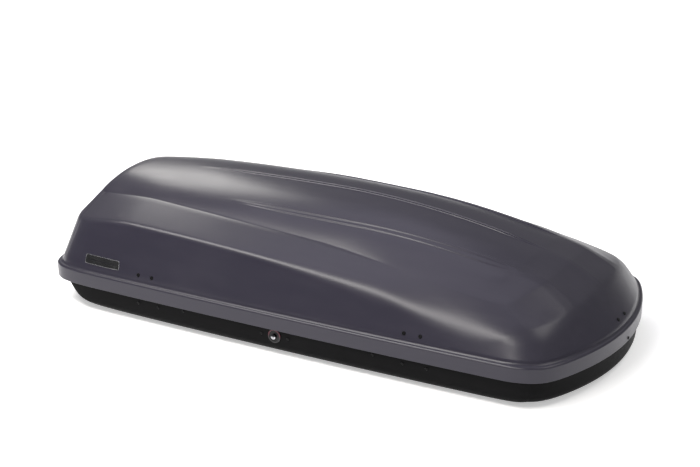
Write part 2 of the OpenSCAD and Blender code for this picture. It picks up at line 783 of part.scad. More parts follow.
module lock_escutcheon() color([0.07, 0.07, 0.075])
    collar(ring_r - ring_w - seat, barrel_r + seat, lock_face - trim_gap - escutcheon_h, escutcheon_h);

module lock_ring() color([0.4, 0.05, 0.06])
    collar(ring_r, ring_r - ring_w, lock_face - trim_gap - ring_h, ring_h);

module lock_barrel() color([0.75, 0.76, 0.78])
    collar(barrel_r, plug_d / 2 + play, lock_face - barrel_out, lock_back - lock_face + barrel_out);

module key_plug() color([0.66, 0.66, 0.68]) difference() {
    union() {
        along_y(lock_face - plug_out, lock_back - lock_face + plug_out + plug_back, plug_d / 2);
        along_y(lock_back, rod_size[0] + rod_back_gap + spindle_out, spindle_r);
    }
    translate([lock_x - keyway[0] / 2, lock_face - plug_out - past, lock_z - keyway[2] / 2]) cube(keyway);
    along_y(rod_y - screw_depth - past, deep_cut, screw_bore_r);
}

function tooth(angle, side, r, half) = let (a = angle + side * asin(half / r)) [r * cos(a), r * sin(a)];

module lock_pinion() color([0.6, 0.55, 0.4]) difference() {
    root = pinion_r - tooth_root * module_size;
    tip = pinion_r + tooth_tip * module_size;
    rod_shape([for (k = [0 : pinion_teeth - 1])
        let (a = k * 360 / pinion_teeth)
        for (v = [tooth(a, -1, root, tooth_half[0]), tooth(a, -1, tip, tooth_half[1]),
            tooth(a, 1, tip, tooth_half[1]), tooth(a, 1, root, tooth_half[0])]) v]);
    along_y(rod_y - deep_cut / 2, deep_cut, spindle_r + play);
}

module pinion_screw() color([0.7, 0.7, 0.72]) {
    along_y(rod_y + rod_size[0] / 2 + screw_gap, screw_head[1], screw_head[0]);
    along_y(rod_y - screw_depth, rod_size[0] / 2 + screw_depth + sink, screw_r);
}

rack_half = [tooth_pitch / 4 + tooth_slack - rack_lean, tooth_pitch / 4 - tooth_slack - rack_lean];
rear_rack = [for (i = [-2 : 4])
    let (c = (i + 0.5) * tooth_pitch)
    for (v = [[c - rack_half[0], rack_root], [c - rack_half[1], rack_tip],
        [c + rack_half[1], rack_tip], [c + rack_half[0], rack_root]]) v];

module rod_shape(points) {
    translate([lock_x, rod_y + rod_size[0] / 2, lock_z]) rotate([90, 0, 0])
        linear_extrude(height = rod_size[0]) polygon(points);
}

rod_end = latch_reach - bolt_rest - bolt_len;
jog = [66, 126, 10];

module lock_rod_rear() color([0.58, 0.59, 0.61]) rod_shape(concat(
    [[-rod_end, rod_top], [-rod_end, rack_root]], rear_rack, [[rack_end, rack_root], [rack_end, rod_top]]));

module lock_rod_front() color([0.58, 0.59, 0.61]) rod_shape(concat(
    [[-rack_end, -rod_top], [jog[0] + jog[2], -rod_top], [jog[1] + jog[2], rack_root],
        [rod_end, rack_root], [rod_end, rod_top], [jog[1], rod_top], [jog[0], -rack_root]],
    [for (v = rear_rack) -v], [[-rack_end, -rack_root]]));

module lock_bolt_rear() color([0.72, 0.73, 0.75])
    along_x(latch_x(-1) + bolt_rest, rod_y, rod_z, bolt_len, bolt_d / 2);
module lock_bolt_front() color([0.72, 0.73, 0.75])
    along_x(latch_x(1) - bolt_rest - bolt_len, rod_y, rod_z, bolt_len, bolt_d / 2);

function latch_face(end) = -tray_in(latch_x(end), latch_half);

// Latch block with a bore for the bolt and a slot for the keeper's tongue
module latch_housing(end) color([0.12, 0.12, 0.13]) {
    x = latch_x(end);
    face = latch_face(end);
    low = latch_rivet_z - latch_under;
    high = rod_z + latch_over;
    slot_y = rod_y - tongue[1] / 2 - tongue_room;
    slot_z = rod_z - tongue_drop - tongue_room;
    difference() {
        union() {
            translate([x - latch_half, face, low]) cube([2 * latch_half, latch_skin, high - low]);
            translate([x - latch_block, face, low])
                cube([2 * latch_block, rod_y + latch_cover - face, high - low]);
        }
        translate([x - tongue_slot / 2, slot_y, slot_z])
            cube([tongue_slot, rod_y + latch_cover + past - slot_y, high + past - slot_z]);
        along_x(x - latch_half - past, rod_y, rod_z, 2 * (latch_half + past), bolt_d / 2 + play);
        for (i = [-1, 1]) translate([x + i * latch_rivet_pitch / 2, face - past, latch_rivet_z])
            rotate([-90, 0, 0]) cylinder(h = latch_skin + 2 * past, r = rivet_hole_r);
    }
}

module latch_housing_rear() latch_housing(-1);
module latch_housing_front() latch_housing(1);

module latch_rivets() color([0.1, 0.1, 0.11]) {
    for (i = [-1, 1]) for (j = [-1, 1]) {
        at = latch_x(i) + j * latch_rivet_pitch / 2;
        on_near_wall(at, latch_rivet_z) rivet(latch_face(i) + latch_skin + tray_out(at));
    }
}

function guide_face(end) = -tray_in(guide_x(end), guide_half);

module rod_guide(end) color([0.12, 0.12, 0.13]) {
    x = guide_x(end);
    face = guide_face(end);
    low = guide_rivet_z - guide_under;
    high = rod_z + guide_over;
    room = [2 * (guide_half + past), rod_size[0] + 2 * seat, rod_size[1] + 2 * seat];
    difference() {
        union() {
            translate([x - guide_half, face, low]) cube([2 * guide_half, guide_skin, high - low]);
            for (i = [-guide_half, guide_half - guide_cheek])
                translate([x + i, face, low]) cube([guide_cheek, rod_y + guide_cover - face, high - low]);
        }
        translate([x, rod_y, rod_z] - room / 2) cube(room);
        translate([x, face - past, guide_rivet_z]) rotate([-90, 0, 0])
            cylinder(h = guide_skin + 2 * past, r = rivet_hole_r);
    }
}

module rod_guide_rear() rod_guide(-1);
module rod_guide_front() rod_guide(1);

module rod_guide_rivets() color([0.1, 0.1, 0.11]) for (i = [-1, 1])
    on_near_wall(guide_x(i), guide_rivet_z) rivet(guide_face(i) + guide_skin + tray_out(guide_x(i)));

// Lid keeper: a plate on the lid's inner face with a tongue that hangs into the latch block
module keeper(end) color([0.6, 0.61, 0.63]) {
    x = latch_x(end);
    under = skin_depth(lid_tilt(x)) + seat;
    join_z = keeper_z + keeper_join;
    join_y = -lid_out(x, join_z) + lid_wall + sink;
    difference() {
        union() {
            on_lid_wall(keeper_x(end), keeper_z)
                translate([-keeper_size[0] / 2, -keeper_size[1] / 2, -under - keeper_size[2]])
                cube(keeper_size);
            translate([x - tongue[0] / 2, rod_y - tongue[1] / 2, rod_z - tongue_drop])
                cube([tongue[0], tongue[1], join_z - rod_z + tongue_drop]);
            translate([x - tongue[0] / 2, join_y, join_z - keeper_arm])
                cube([tongue[0], rod_y - join_y, keeper_arm]);
        }
        along_x(x - tongue[0], rod_y, rod_z, 2 * tongue[0], bolt_d / 2 + bolt_room);
        for (v = keeper_rivet_xs(end)) on_lid_wall(v, keeper_z) rivet_bore(deep_cut);
    }
}

module keeper_rear() keeper(-1);
module keeper_front() keeper(1);

module keeper_rivets() color([0.08, 0.08, 0.085]) for (i = [-1, 1]) for (v = keeper_rivet_xs(i))
    on_lid_wall(v, keeper_z)
        rivet(skin_depth(lid_tilt(latch_x(i))) + 2 * seat + keeper_size[2], lid_rivet_head_r);

// Nose: a peg under the lid drops into a socket on the tray
module nose_socket() color([0.12, 0.12, 0.13]) {
    back = peg_x[0] - socket_gap - socket_wall;
    high = socket_z[1] - socket_z[0];
    difference() {
        translate([back, -socket_half, socket_z[0]]) cube([socket_face - back, 2 * socket_half, high]);
        translate([peg_x[0] - socket_gap, -peg_half - socket_gap, socket_z[0] + socket_floor])
            cube([peg_x[1] - peg_x[0] + 2 * socket_gap, 2 * (peg_half + socket_gap), high]);
        for (i = [-1, 1])
            translate([back - past, i * socket_rivet_half - socket_pocket / 2, socket_z[0] - past])
                cube([socket_face - socket_wall - back + past, socket_pocket, high + 2 * past]);
        for (i = [-1, 1])
            translate([socket_face - socket_wall - past, i * socket_rivet_half, socket_rivet_z])
                rotate([0, 90, 0]) cylinder(h = socket_wall + 2 * past, r = rivet_hole_r);
    }
}

module nose_socket_rivets() color([0.1, 0.1, 0.11]) {
    out = half_l - tray_inset - nose_bow * pow(socket_rivet_half / half_w, 2);
    for (i = [-1, 1])
        on_tray_nose(i * socket_rivet_half, socket_rivet_z) rivet(out - socket_face + socket_wall);
}

nose_under = skin_depth(nose_tilt) + seat + nose_bow * pow(nose_plate[0] / 2 / half_w, 2);

module nose_guide() color([0.12, 0.12, 0.13]) difference() {
    union() {
        on_nose_wall(0, nose_rivet_z)
            translate([-nose_plate[1] / 2, -nose_plate[0] / 2, -nose_under - nose_plate[2]])
            cube([nose_plate[1], nose_plate[0], nose_plate[2]]);
        translate([peg_x[0], -peg_half, peg_low])
            cube([peg_x[1] - peg_x[0], 2 * peg_half, nose_rivet_z - peg_join - peg_low]);
    }
    for (i = [-1, 1]) on_nose_wall(i * nose_rivet_half, nose_rivet_z) rivet_bore(deep_cut);
}

module nose_guide_rivets() color([0.08, 0.08, 0.085]) for (i = [-1, 1])
    on_nose_wall(i * nose_rivet_half, nose_rivet_z)
        rivet(nose_under + nose_plate[2] + seat, lid_rivet_head_r);

module band_plate() color([0.5, 0.51, 0.53]) difference() {
    back = half_l - lid_wall - band_plate_gap - band_plate_size[1];
    translate([back, -band_plate_size[0] / 2, band_rivet_z - band_plate_low])
        cube([band_plate_size[1], band_plate_size[0], band_plate_size[2]]);
    on_nose_band(band_rivet_z) rivet_bore(deep_cut);
}

module band_rivet() color([0.08, 0.08, 0.085]) on_nose_band(band_rivet_z)
    rivet(lid_wall + band_plate_gap + band_plate_size[1]);

// Struts: a foot on the tray's far wall, a cylinder, a rod and a head bonded under the lid
module strut_foot_at(x) color([0.4, 0.41, 0.43]) {
    face = tray_in(x, foot_plate[0] / 2);
    pin_half = strut_eye_w / 2 + ear_gap + ear_t + pin_over;
    difference() {
        union() {
            translate([x - foot_plate[0] / 2, face - foot_plate[2], strut_foot[1] - foot_plate_drop])
                cube([foot_plate[0], foot_plate[2], foot_plate[1]]);
            for (i = [strut_eye_w / 2 + ear_gap, -strut_eye_w / 2 - ear_gap - ear_t]) {
                along_x(x + i, strut_foot[0], strut_foot[1], ear_t, ear_r);
                translate([x + i, strut_foot[0], strut_foot[1] - ear_r])
                    cube([ear_t, face - sink - strut_foot[0], 2 * ear_r]);
            }
            along_x(x - pin_half, strut_foot[0], strut_foot[1], 2 * pin_half, strut_pin_r);
        }
        for (i = [-1, 1]) on_far_wall(x + i * foot_rivet_half, strut_foot[1]) rivet_bore(deep_cut);
    }
}

module strut_foot_rear() strut_foot_at(strut_rear_x);
module strut_foot_front() strut_foot_at(strut_front_x);

module strut_foot_rivets() color([0.5, 0.5, 0.52]) for (x = strut_xs) for (i = [-1, 1]) {
    at = x + i * foot_rivet_half;
    face = tray_in(x, foot_plate[0] / 2);
    on_far_wall(at, strut_foot[1]) rivet(tray_out(at) - face + foot_plate[2]);
}

module along_strut(x) {
    translate([x, strut_foot[0], strut_foot[1]]) rotate([strut_tilt, 0, 0]) children();
}

module eye(outer, inner, width, z) {
    translate([-width / 2, 0, z]) rotate([0, 90, 0]) difference() {
        cylinder(h = width, r = outer);
        translate([0, 0, -past]) cylinder(h = width + 2 * past, r = inner);
    }
}

module strut_cylinder(x) color([0.09, 0.09, 0.1]) along_strut(x) {
    run = strut_tube[1] - strut_tube[0];
    room = run - strut_tube_ends[0] - strut_tube_ends[1];
    eye(strut_lug_r, strut_pin_r + play, strut_eye_w, 0);
    translate([0, 0, strut_neck[0]]) cylinder(h = strut_neck[1], r = strut_eye_w / 2);
    difference() {
        translate([0, 0, strut_tube[0]]) cylinder(h = run, r = strut_d / 2);
        translate([0, 0, strut_tube[0] + strut_tube_ends[0]])
            cylinder(h = room, r = strut_d / 2 - strut_skin);
        translate([0, 0, strut_tube[1] - strut_tube_ends[1] - past])
            cylinder(h = strut_tube_ends[1] + 2 * past, r = strut_rod_d / 2 + play);
    }
}

module strut_cylinder_rear() strut_cylinder(strut_rear_x);
module strut_cylinder_front() strut_cylinder(strut_front_x);

module strut_rod(x) color([0.78, 0.79, 0.8]) along_strut(x) {
    rod_len = strut_len - strut_eye_r - strut_eye_wall / 2 - strut_rod_foot;
    translate([0, 0, strut_rod_foot]) cylinder(h = rod_len, r = strut_rod_d / 2);
    translate([0, 0, strut_piston[0]]) cylinder(h = strut_piston[1], r = strut_d / 2 - strut_skin - play);
    eye(strut_eye_r + strut_eye_wall, strut_eye_r, strut_eye_w, strut_len);
}

module strut_rod_rear() strut_rod(strut_rear_x);
module strut_rod_front() strut_rod(strut_front_x);

module strut_head_at(x) color([0.4, 0.41, 0.43]) {
    web = [x + strut_eye_w / 2 + web_gap, web_t];
    tops = [for (v = [[-1, 0], [1, 0], [1, 1], [-1, 1]])
        let (at = [x + v[0] * head_half, head_y[v[1]]])
        [at[0], at[1], lid_under(at[0], at[1]) - head_gap]];
    low = [0, 0, -head_t];
    polyhedron(concat(tops, [for (v = tops) v + low]),
        [[3, 2, 1], [3, 1, 0], [4, 5, 6], [4, 6, 7], [0, 1, 5], [0, 5, 4], [1, 2, 6], [1, 6, 5],
        [2, 3, 7], [2, 7, 6], [3, 0, 4], [3, 4, 7]]);
    roof = [for (y = head_y) lid_under(web[0] + web[1], y) - head_t / 2 - head_gap];
    translate([web[0], 0, 0]) rotate([90, 0, 90]) linear_extrude(height = web[1])
        polygon([strut_head + [-web_reach[0], -web_rise[0]], strut_head + [web_reach[1], -web_rise[1]],
            [head_y[1], roof[1] - web_rise[2]], [head_y[1], roof[1]], [head_y[0], roof[0]],
            strut_head + [-web_reach[0], web_rise[3]]]);
    stud = x - strut_eye_w / 2 - stud_over;
    along_x(stud, strut_head[0], strut_head[1], strut_eye_w + 2 * stud_over, strut_pin_r);
    along_x(stud - stud_cap + sink, strut_head[0], strut_head[1], stud_cap, stud_cap_r);
}

module strut_head_rear() strut_head_at(strut_rear_x);
module strut_head_front() strut_head_at(strut_front_x);

// Lid skin: band, ledge, leaning wall, rounded shoulder, upper facet, crease and fluted dome
module lid_shell() color([0.24, 0.24, 0.26]) difference() {
    skin(concat(
        [crease_ring(lid_wall, lid_wall)],
        [for (t = [1, 0.5, 0]) shoulder_ring(t, lid_wall, lid_wall / 2)],
        [rim_ring(wall_foot_in + lid_wall, wall_foot_z - lid_wall / 2),
            rim_ring(wall_foot_in + lid_wall - foot_back, ledge_z - lid_wall),
            rim_ring(lid_wall, ledge_z - lid_wall), rim_ring(lid_wall, band_bottom),
            rim_ring(0, band_bottom), rim_ring(0, ledge_z - band_round[1]),
            rim_ring(band_round[0], ledge_z - ledge_rise), rim_ring(band_round[1], ledge_z),
            rim_ring(ledge_depth, ledge_z + ledge_rise),
            rim_ring(wall_foot_in - foot_round[0], ledge_z + foot_round[1]),
            rim_ring(wall_foot_in, wall_foot_z)],
        [for (t = [0, 0.25, 0.5, 0.75, 1]) shoulder_ring(t, 0, 0)],
        [crease_ring(0, 0)]),
        dome_mesh(lid_wall, lid_wall, false), dome_mesh(0, 0, true));
    for (i = [-1, 1]) {
        for (v = keeper_rivet_xs(i)) on_lid_wall(v, keeper_z) rivet_cut(wall_cut);
        on_nose_wall(i * nose_rivet_half, nose_rivet_z) rivet_cut(wall_cut);
    }
    on_nose_band(band_rivet_z) rivet_cut(wall_cut);
    for (x = hinge_xs) for (i = [-1, 1])
        translate([x + i * leaf_rivet_half, half_w, lid_leaf_rivet_z])
            rotate([-90, 0, 0]) rivet_cut(deep_cut);
}

// Blank name plate with rounded corners
module name_plate() color([0.03, 0.03, 0.03]) on_lid_wall(plate_x, plate_z) translate([0, 0, 2 * seat]) {
    size = plate_size;
    translate([-size[0] / 2, -size[1] / 2 + plate_corner, 0])
        cube([size[0], size[1] - 2 * plate_corner, size[2]]);
    translate([-size[0] / 2 + plate_corner, -size[1] / 2, 0])
        cube([size[0] - 2 * plate_corner, size[1], size[2]]);
    for (i = [-1, 1]) for (j = [-1, 1])
        translate([i * (size[0] / 2 - plate_corner), j * (size[1] / 2 - plate_corner), 0])
            cylinder(h = size[2], r = plate_corner);
}

base_tray();
bar_plate_front_near();
bar_plate_front_far();
bar_plate_rear_near();
bar_plate_rear_far();
bar_plate_rivets();
base_leaf_rear();
base_leaf_middle();
base_leaf_front();
hinge_pin_rear();
hinge_pin_middle();
hinge_pin_front();
base_leaf_rivets();
lock_housing();
lock_escutcheon();
lock_ring();
lock_barrel();
lock_rivets();
latch_housing_rear();
latch_housing_front();
latch_rivets();
rod_guide_rear();
rod_guide_front();
rod_guide_rivets();
nose_socket();
nose_socket_rivets();
strut_foot_rear();
strut_foot_front();
strut_foot_rivets();
key_plug();
lock_pinion();
pinion_screw();
lock_rod_rear();
lock_bolt_rear();
lock_rod_front();
lock_bolt_front();
strut_cylinder_rear();
strut_rod_rear();
strut_cylinder_front();
strut_rod_front();
lid_shell();
name_plate();
lid_leaf_rear();
lid_leaf_middle();
lid_leaf_front();
lid_leaf_rivets();
keeper_rear();
keeper_front();
keeper_rivets();
nose_guide();
nose_guide_rivets();
band_plate();
band_rivet();
strut_head_rear();
strut_head_front();
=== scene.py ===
"""Looks of a roof cargo box: its two skins, name plate, fixings, finishes, studio and camera.

Lengths inside the classes are millimetres, as on a drawing, and MM turns them into metres.
The lid and tray follow the same outlines as the solids they stand for, with finer lines.
"""

import json
import logging
import math
from dataclasses import dataclass, field
from enum import Enum
from functools import cache
from typing import Sequence

import bmesh
import bpy
import numpy as np
from mathutils import Matrix, Vector
from mathutils.kdtree import KDTree


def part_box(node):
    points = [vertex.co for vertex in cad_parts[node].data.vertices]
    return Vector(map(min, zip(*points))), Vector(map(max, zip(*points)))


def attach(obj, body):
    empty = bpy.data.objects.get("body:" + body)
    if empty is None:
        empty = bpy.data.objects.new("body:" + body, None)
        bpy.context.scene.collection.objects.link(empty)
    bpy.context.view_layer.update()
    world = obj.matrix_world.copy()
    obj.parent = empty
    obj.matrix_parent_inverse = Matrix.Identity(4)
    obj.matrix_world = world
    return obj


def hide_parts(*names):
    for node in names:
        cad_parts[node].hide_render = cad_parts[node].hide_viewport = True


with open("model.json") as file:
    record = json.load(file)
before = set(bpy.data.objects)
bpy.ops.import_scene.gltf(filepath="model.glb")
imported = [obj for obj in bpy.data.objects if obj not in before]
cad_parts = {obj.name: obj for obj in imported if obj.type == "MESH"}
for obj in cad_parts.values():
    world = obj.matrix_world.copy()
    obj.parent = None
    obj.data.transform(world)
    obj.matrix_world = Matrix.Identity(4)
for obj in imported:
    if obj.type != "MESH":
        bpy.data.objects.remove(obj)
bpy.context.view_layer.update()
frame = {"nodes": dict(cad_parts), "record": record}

MM = 0.001
LOG = logging.getLogger("roof_box")

Colour = tuple[float, float, float]


class FinishKind(Enum):
    """How a finish is made."""

    MOULDED = "moulded plastic"
    PAINTED = "painted metal"
    PLATED = "plated metal"
    BRUSHED = "rolled or brushed metal"


def ease(start: float, stop: float, value: np.ndarray | float) -> np.ndarray | float:
    """Smooth step from 0 at start to 1 at stop.

    Args:
        start: Value where the step begins.
        stop: Value where the step ends.
        value: Where the step is read.

    Returns:
        The step's height between 0 and 1.
    """
    part = np.clip((value - start) / (stop - start), 0.0, 1.0)
    return part * part * (3.0 - 2.0 * part)


def through(mid: float, front: float, rear: float, part: np.ndarray | float) -> np.ndarray | float:
    """Parabola through a middle, a front and a rear height.

    Args:
        mid: Height at part 0.
        front: Height at part 1.
        rear: Height at part -1.
        part: Position along the box, from -1 at the tail to 1 at the nose.

    Returns:
        The height at that position.
    """
    return mid + (front - rear) / 2 * part + ((front + rear) / 2 - mid) * part * part


class NodeDesk:
    """Adds and links the nodes of one material or node group."""

    def __init__(self, tree: bpy.types.NodeTree) -> None:
        """Starts work on a tree."""
        self.tree = tree

    def add(self, kind: str, **values: object) -> bpy.types.Node:
        """Adds a node and fills in its sockets.

        Args:
            kind: Blender's name of the node type.
            **values: Socket values, or nodes' output sockets to link, by socket name with spaces as _.

        Returns:
            The new node.
        """
        made = self.tree.nodes.new(kind)
        for name, value in values.items():
            self.put(made.inputs[name.replace("_", " ")], value)
        return made

    def put(self, socket: bpy.types.NodeSocket, value: object) -> None:
        """Sets a socket, or links it where the value is another socket.

        Args:
            socket: Socket to fill.
            value: A value or an output socket.
        """
        if isinstance(value, bpy.types.NodeSocket):
            self.tree.links.new(value, socket)
        else:
            socket.default_value = value

    def math(self, operation: str, first: object, second: object = 0.0) -> bpy.types.NodeSocket:
        """Adds a Math node.

        Args:
            operation: Blender's name of the operation.
            first: First value or socket.
            second: Second value or socket.

        Returns:
            The node's output.
        """
        made = self.tree.nodes.new("ShaderNodeMath")
        made.operation = operation
        self.put(made.inputs[0], first)
        self.put(made.inputs[1], second)
        return made.outputs[0]

    def ramp(self, value: object, low: float, high: float, to_low: float, to_high: float) -> bpy.types.NodeSocket:
        """Adds a clamped Map Range node and gives its output."""
        made = self.add("ShaderNodeMapRange", Value=value, From_Min=low, From_Max=high, To_Min=to_low, To_Max=to_high)
        return made.outputs["Result"]

    def mix(self, part: object, first: object, second: object) -> bpy.types.NodeSocket:
        """Adds a colour Mix node.

        Args:
            part: Share of the second colour.
            first: First colour or socket.
            second: Second colour or socket.

        Returns:
            The node's output.
        """
        made = self.tree.nodes.new("ShaderNodeMix")
        made.data_type = "RGBA"
        self.put(made.inputs["Factor"], part)
        self.put(made.inputs["A"], first)
        self.put(made.inputs["B"], second)
        return made.outputs["Result"]


def stand(name: str, data: bpy.types.ID) -> bpy.types.Object:
    """Puts a mesh, light or camera into the scene.

    Args:
        name: Name of the object.
        data: What the object shows.

    Returns:
        The new object.
    """
    made = bpy.data.objects.new(name, data)
    bpy.context.scene.collection.objects.link(made)
    return made


def opaque(colour: Colour) -> tuple[float, float, float, float]:
    """Colour with a full alpha."""
    return (*colour, 1.0)


class SurfaceGroups:
    """Shader node groups that more than one finish uses, each built once."""

    GRAIN = "moulded_grain"
    SMUDGE = "handling_marks"
    DUST = "settled_dust"
    STREAK = "rolling_streaks"

    @staticmethod
    def _open(name: str, inputs: Sequence[str], outputs: Sequence[str]) -> tuple[NodeDesk, dict, dict]:
        """Makes an empty group.

        Args:
            name: The group's name.
            inputs: Names of its value inputs.
            outputs: Names of its value outputs.

        Returns:
            A desk for the group, its input sockets and its output sockets by name.
        """
        tree = bpy.data.node_groups.new(name, "ShaderNodeTree")
        for each in inputs:
            tree.interface.new_socket(each, in_out="INPUT", socket_type="NodeSocketFloat")
        for each in outputs:
            tree.interface.new_socket(each, in_out="OUTPUT", socket_type="NodeSocketFloat")
        way_in = tree.nodes.new("NodeGroupInput")
        way_out = tree.nodes.new("NodeGroupOutput")
        return NodeDesk(tree), way_in.outputs, way_out.inputs

    @classmethod
    @cache
    def grain(cls) -> bpy.types.NodeTree:
        """Fine leathery grain of moulded plastic, as a height.

        Returns:
            The group, with the output Height.
        """
        desk, way_in, way_out = cls._open(cls.GRAIN, ["Scale"], ["Height"])
        place = desk.add("ShaderNodeTexCoord").outputs["Object"]
        cells = desk.add("ShaderNodeTexVoronoi", Vector=place, Scale=way_in["Scale"], Randomness=0.9)
        finer = desk.math("MULTIPLY", way_in["Scale"], 2.3)
        fine = desk.add("ShaderNodeTexNoise", Vector=place, Scale=finer, Detail=2.0)
        mixed = desk.math("ADD", desk.math("MULTIPLY", cells.outputs["Distance"], 0.65),
                          desk.math("MULTIPLY", fine.outputs["Fac"], 0.35))
        desk.put(way_out["Height"], mixed)
        return desk.tree

    @classmethod
    @cache
    def smudge(cls) -> bpy.types.NodeTree:
        """Cloudy handling marks and faint wipes, as a mask.

        Returns:
            The group, with the output Mask.
        """
        desk, way_in, way_out = cls._open(cls.SMUDGE, ["Scale", "Cover"], ["Mask"])
        place = desk.add("ShaderNodeTexCoord").outputs["Object"]
        clouds = desk.add("ShaderNodeTexNoise", Vector=place, Scale=way_in["Scale"], Detail=5.0, Roughness=0.62)
        stretch = desk.add("ShaderNodeMapping", Vector=place)
        stretch.inputs["Scale"].default_value = (1.0, 5.0, 5.0)
        wipes = desk.add("ShaderNodeTexNoise", Vector=stretch.outputs["Vector"],
                         Scale=desk.math("MULTIPLY", way_in["Scale"], 3.0), Detail=3.0)
        both = desk.math("ADD", desk.math("MULTIPLY", clouds.outputs["Fac"], 0.6),
                         desk.math("MULTIPLY", wipes.outputs["Fac"], 0.4))
        low = desk.math("SUBTRACT", 0.62, way_in["Cover"])
        high = desk.math("ADD", low, 0.25)
        spread = desk.add("ShaderNodeMapRange", Value=both, From_Min=low, From_Max=high)
        desk.put(way_out["Mask"], spread.outputs["Result"])
        return desk.tree

    @classmethod
    @cache
    def dust(cls) -> bpy.types.NodeTree:
        """Thin dust that settles on faces that look up, as a mask.

        Returns:
            The group, with the output Mask.
        """
        desk, way_in, way_out = cls._open(cls.DUST, ["Amount"], ["Mask"])
        place = desk.add("ShaderNodeTexCoord").outputs["Object"]
        normal = desk.add("ShaderNodeNewGeometry").outputs["Normal"]
        up = desk.add("ShaderNodeSeparateXYZ", Vector=normal).outputs["Z"]
        facing = desk.ramp(up, 0.25, 1.0, 0.0, 1.0)
        motes = desk.add("ShaderNodeTexNoise", Vector=place, Scale=240.0, Detail=4.0, Roughness=0.7)
        patch = desk.add("ShaderNodeTexNoise", Vector=place, Scale=4.0, Detail=3.0)
        speck = desk.ramp(motes.outputs["Fac"], 0.45, 0.75, 0.2, 1.0)
        cover = desk.math("MULTIPLY", speck, desk.ramp(patch.outputs["Fac"], 0.35, 0.7, 0.35, 1.0))
        mask = desk.math("MULTIPLY", desk.math("MULTIPLY", facing, cover), way_in["Amount"])
        desk.put(way_out["Mask"], mask)
        return desk.tree

    @classmethod
    @cache
    def streak(cls) -> bpy.types.NodeTree:
        """Long fine streaks of rolled or ground metal, as a height.

        Returns:
            The group, with the output Height.
        """
        desk, way_in, way_out = cls._open(cls.STREAK, ["Scale"], ["Height"])
        place = desk.add("ShaderNodeTexCoord").outputs["Object"]
        stretch = desk.add("ShaderNodeMapping", Vector=place)
        stretch.inputs["Scale"].default_value = (0.05, 1.0, 1.0)
        lines = desk.add("ShaderNodeTexNoise", Vector=stretch.outputs["Vector"], Scale=way_in["Scale"], Detail=4.0)
        desk.put(way_out["Height"], lines.outputs["Fac"])
        return desk.tree


@dataclass(frozen=True)
class Finish:
    """One surface finish and its variation.

    Attributes:
        name: Name of the material.
        kind: How the finish is made.
        colour: Main colour.
        worn: Colour where it is handled or weathered.
        roughness: Roughness where it is clean.
        spread: How much rougher it gets where it is handled.
        grain: Cells of grain or streaks per metre.
        relief: Depth of the grain in metres.
        dust: How strongly dust shows on faces that look up.
        coat: Weight of a clear coat.
        smudge_scale: Size of the handling marks, in marks per metre.
        smudge_cover: Share of the surface that is marked.
        specular: Strength of the mirror-like share of the light.
        crown: Colour of the upper half, where it differs. On the lock's ring it is the ring's red. On the lock's
            chrome it is painted shade: a near-black upper half that stands for the recess's shade above the barrel.
    """

    name: str
    kind: FinishKind
    colour: Colour
    worn: Colour
    roughness: float
    spread: float = 0.1
    grain: float = 900.0
    relief: float = 0.0
    dust: float = 0.0
    coat: float = 0.0
    smudge_scale: float = 3.0
    smudge_cover: float = 0.2
    specular: float = 0.5
    crown: Colour | None = None

    DUST_COLOUR = (0.42, 0.4, 0.37)
    DUST_ROUGHNESS = 0.3
    COAT_ROUGHNESS = 0.12
    CROWN_SPLIT = (0.42, 0.58)

    @property
    def metallic(self) -> float:
        """1 for bare or plated metal, 0 for plastic and paint."""
        return 1.0 if self.kind in (FinishKind.PLATED, FinishKind.BRUSHED) else 0.0

    def _group(self, desk: NodeDesk, tree: bpy.types.NodeTree, **values: float) -> bpy.types.Node:
        """Places a node group in the material.

        Args:
            desk: The material's desk.
            tree: The group.
            **values: The group's inputs by name.

        Returns:
            The group's node.
        """
        made = desk.tree.nodes.new("ShaderNodeGroup")
        made.node_tree = tree
        for name, value in values.items():
            made.inputs[name].default_value = value
        return made

    @cache
    def material(self) -> bpy.types.Material:
        """Builds the material once.

        Returns:
            The finish as a Blender material.
        """
        made = bpy.data.materials.new(self.name)
        made.use_nodes = True
        desk = NodeDesk(made.node_tree)
        shader = made.node_tree.nodes["Principled BSDF"]
        shader.inputs["Metallic"].default_value = self.metallic
        shader.inputs["Specular IOR Level"].default_value = self.specular
        shader.inputs["Coat Weight"].default_value = self.coat
        shader.inputs["Coat Roughness"].default_value = self.COAT_ROUGHNESS
        marks = self._group(desk, SurfaceGroups.smudge(), Scale=self.smudge_scale, Cover=self.smudge_cover)
        tone = desk.mix(marks.outputs["Mask"], opaque(self.colour), opaque(self.worn))
        rough = desk.ramp(marks.outputs["Mask"], 0.0, 1.0, self.roughness, self.roughness + self.spread)
        # Upper half in the crown colour. On the lock's chrome this is painted shade: the upper half is near-black
        # where the recess shades the barrel.
        if self.crown is not None:
            place = desk.add("ShaderNodeTexCoord").outputs["Generated"]
            level = desk.add("ShaderNodeSeparateXYZ", Vector=place).outputs["Z"]
            tone = desk.mix(desk.ramp(level, *self.CROWN_SPLIT, 0.0, 1.0), tone, opaque(self.crown))
        if self.dust > 0:
            dust = self._group(desk, SurfaceGroups.dust(), Amount=self.dust)
            tone = desk.mix(dust.outputs["Mask"], tone, opaque(self.DUST_COLOUR))
            rough = desk.math("ADD", rough, desk.math("MULTIPLY", dust.outputs["Mask"], self.DUST_ROUGHNESS))
        desk.put(shader.inputs["Base Color"], tone)
        desk.put(shader.inputs["Roughness"], rough)
        if self.relief > 0:
            moulded = self.kind in (FinishKind.MOULDED, FinishKind.PAINTED)
            group = SurfaceGroups.grain() if moulded else SurfaceGroups.streak()
            height = self._group(desk, group, Scale=self.grain).outputs["Height"]
            bump = desk.add("ShaderNodeBump", Strength=1.0, Distance=self.relief, Height=height)
            desk.put(shader.inputs["Normal"], bump.outputs["Normal"])
        return made


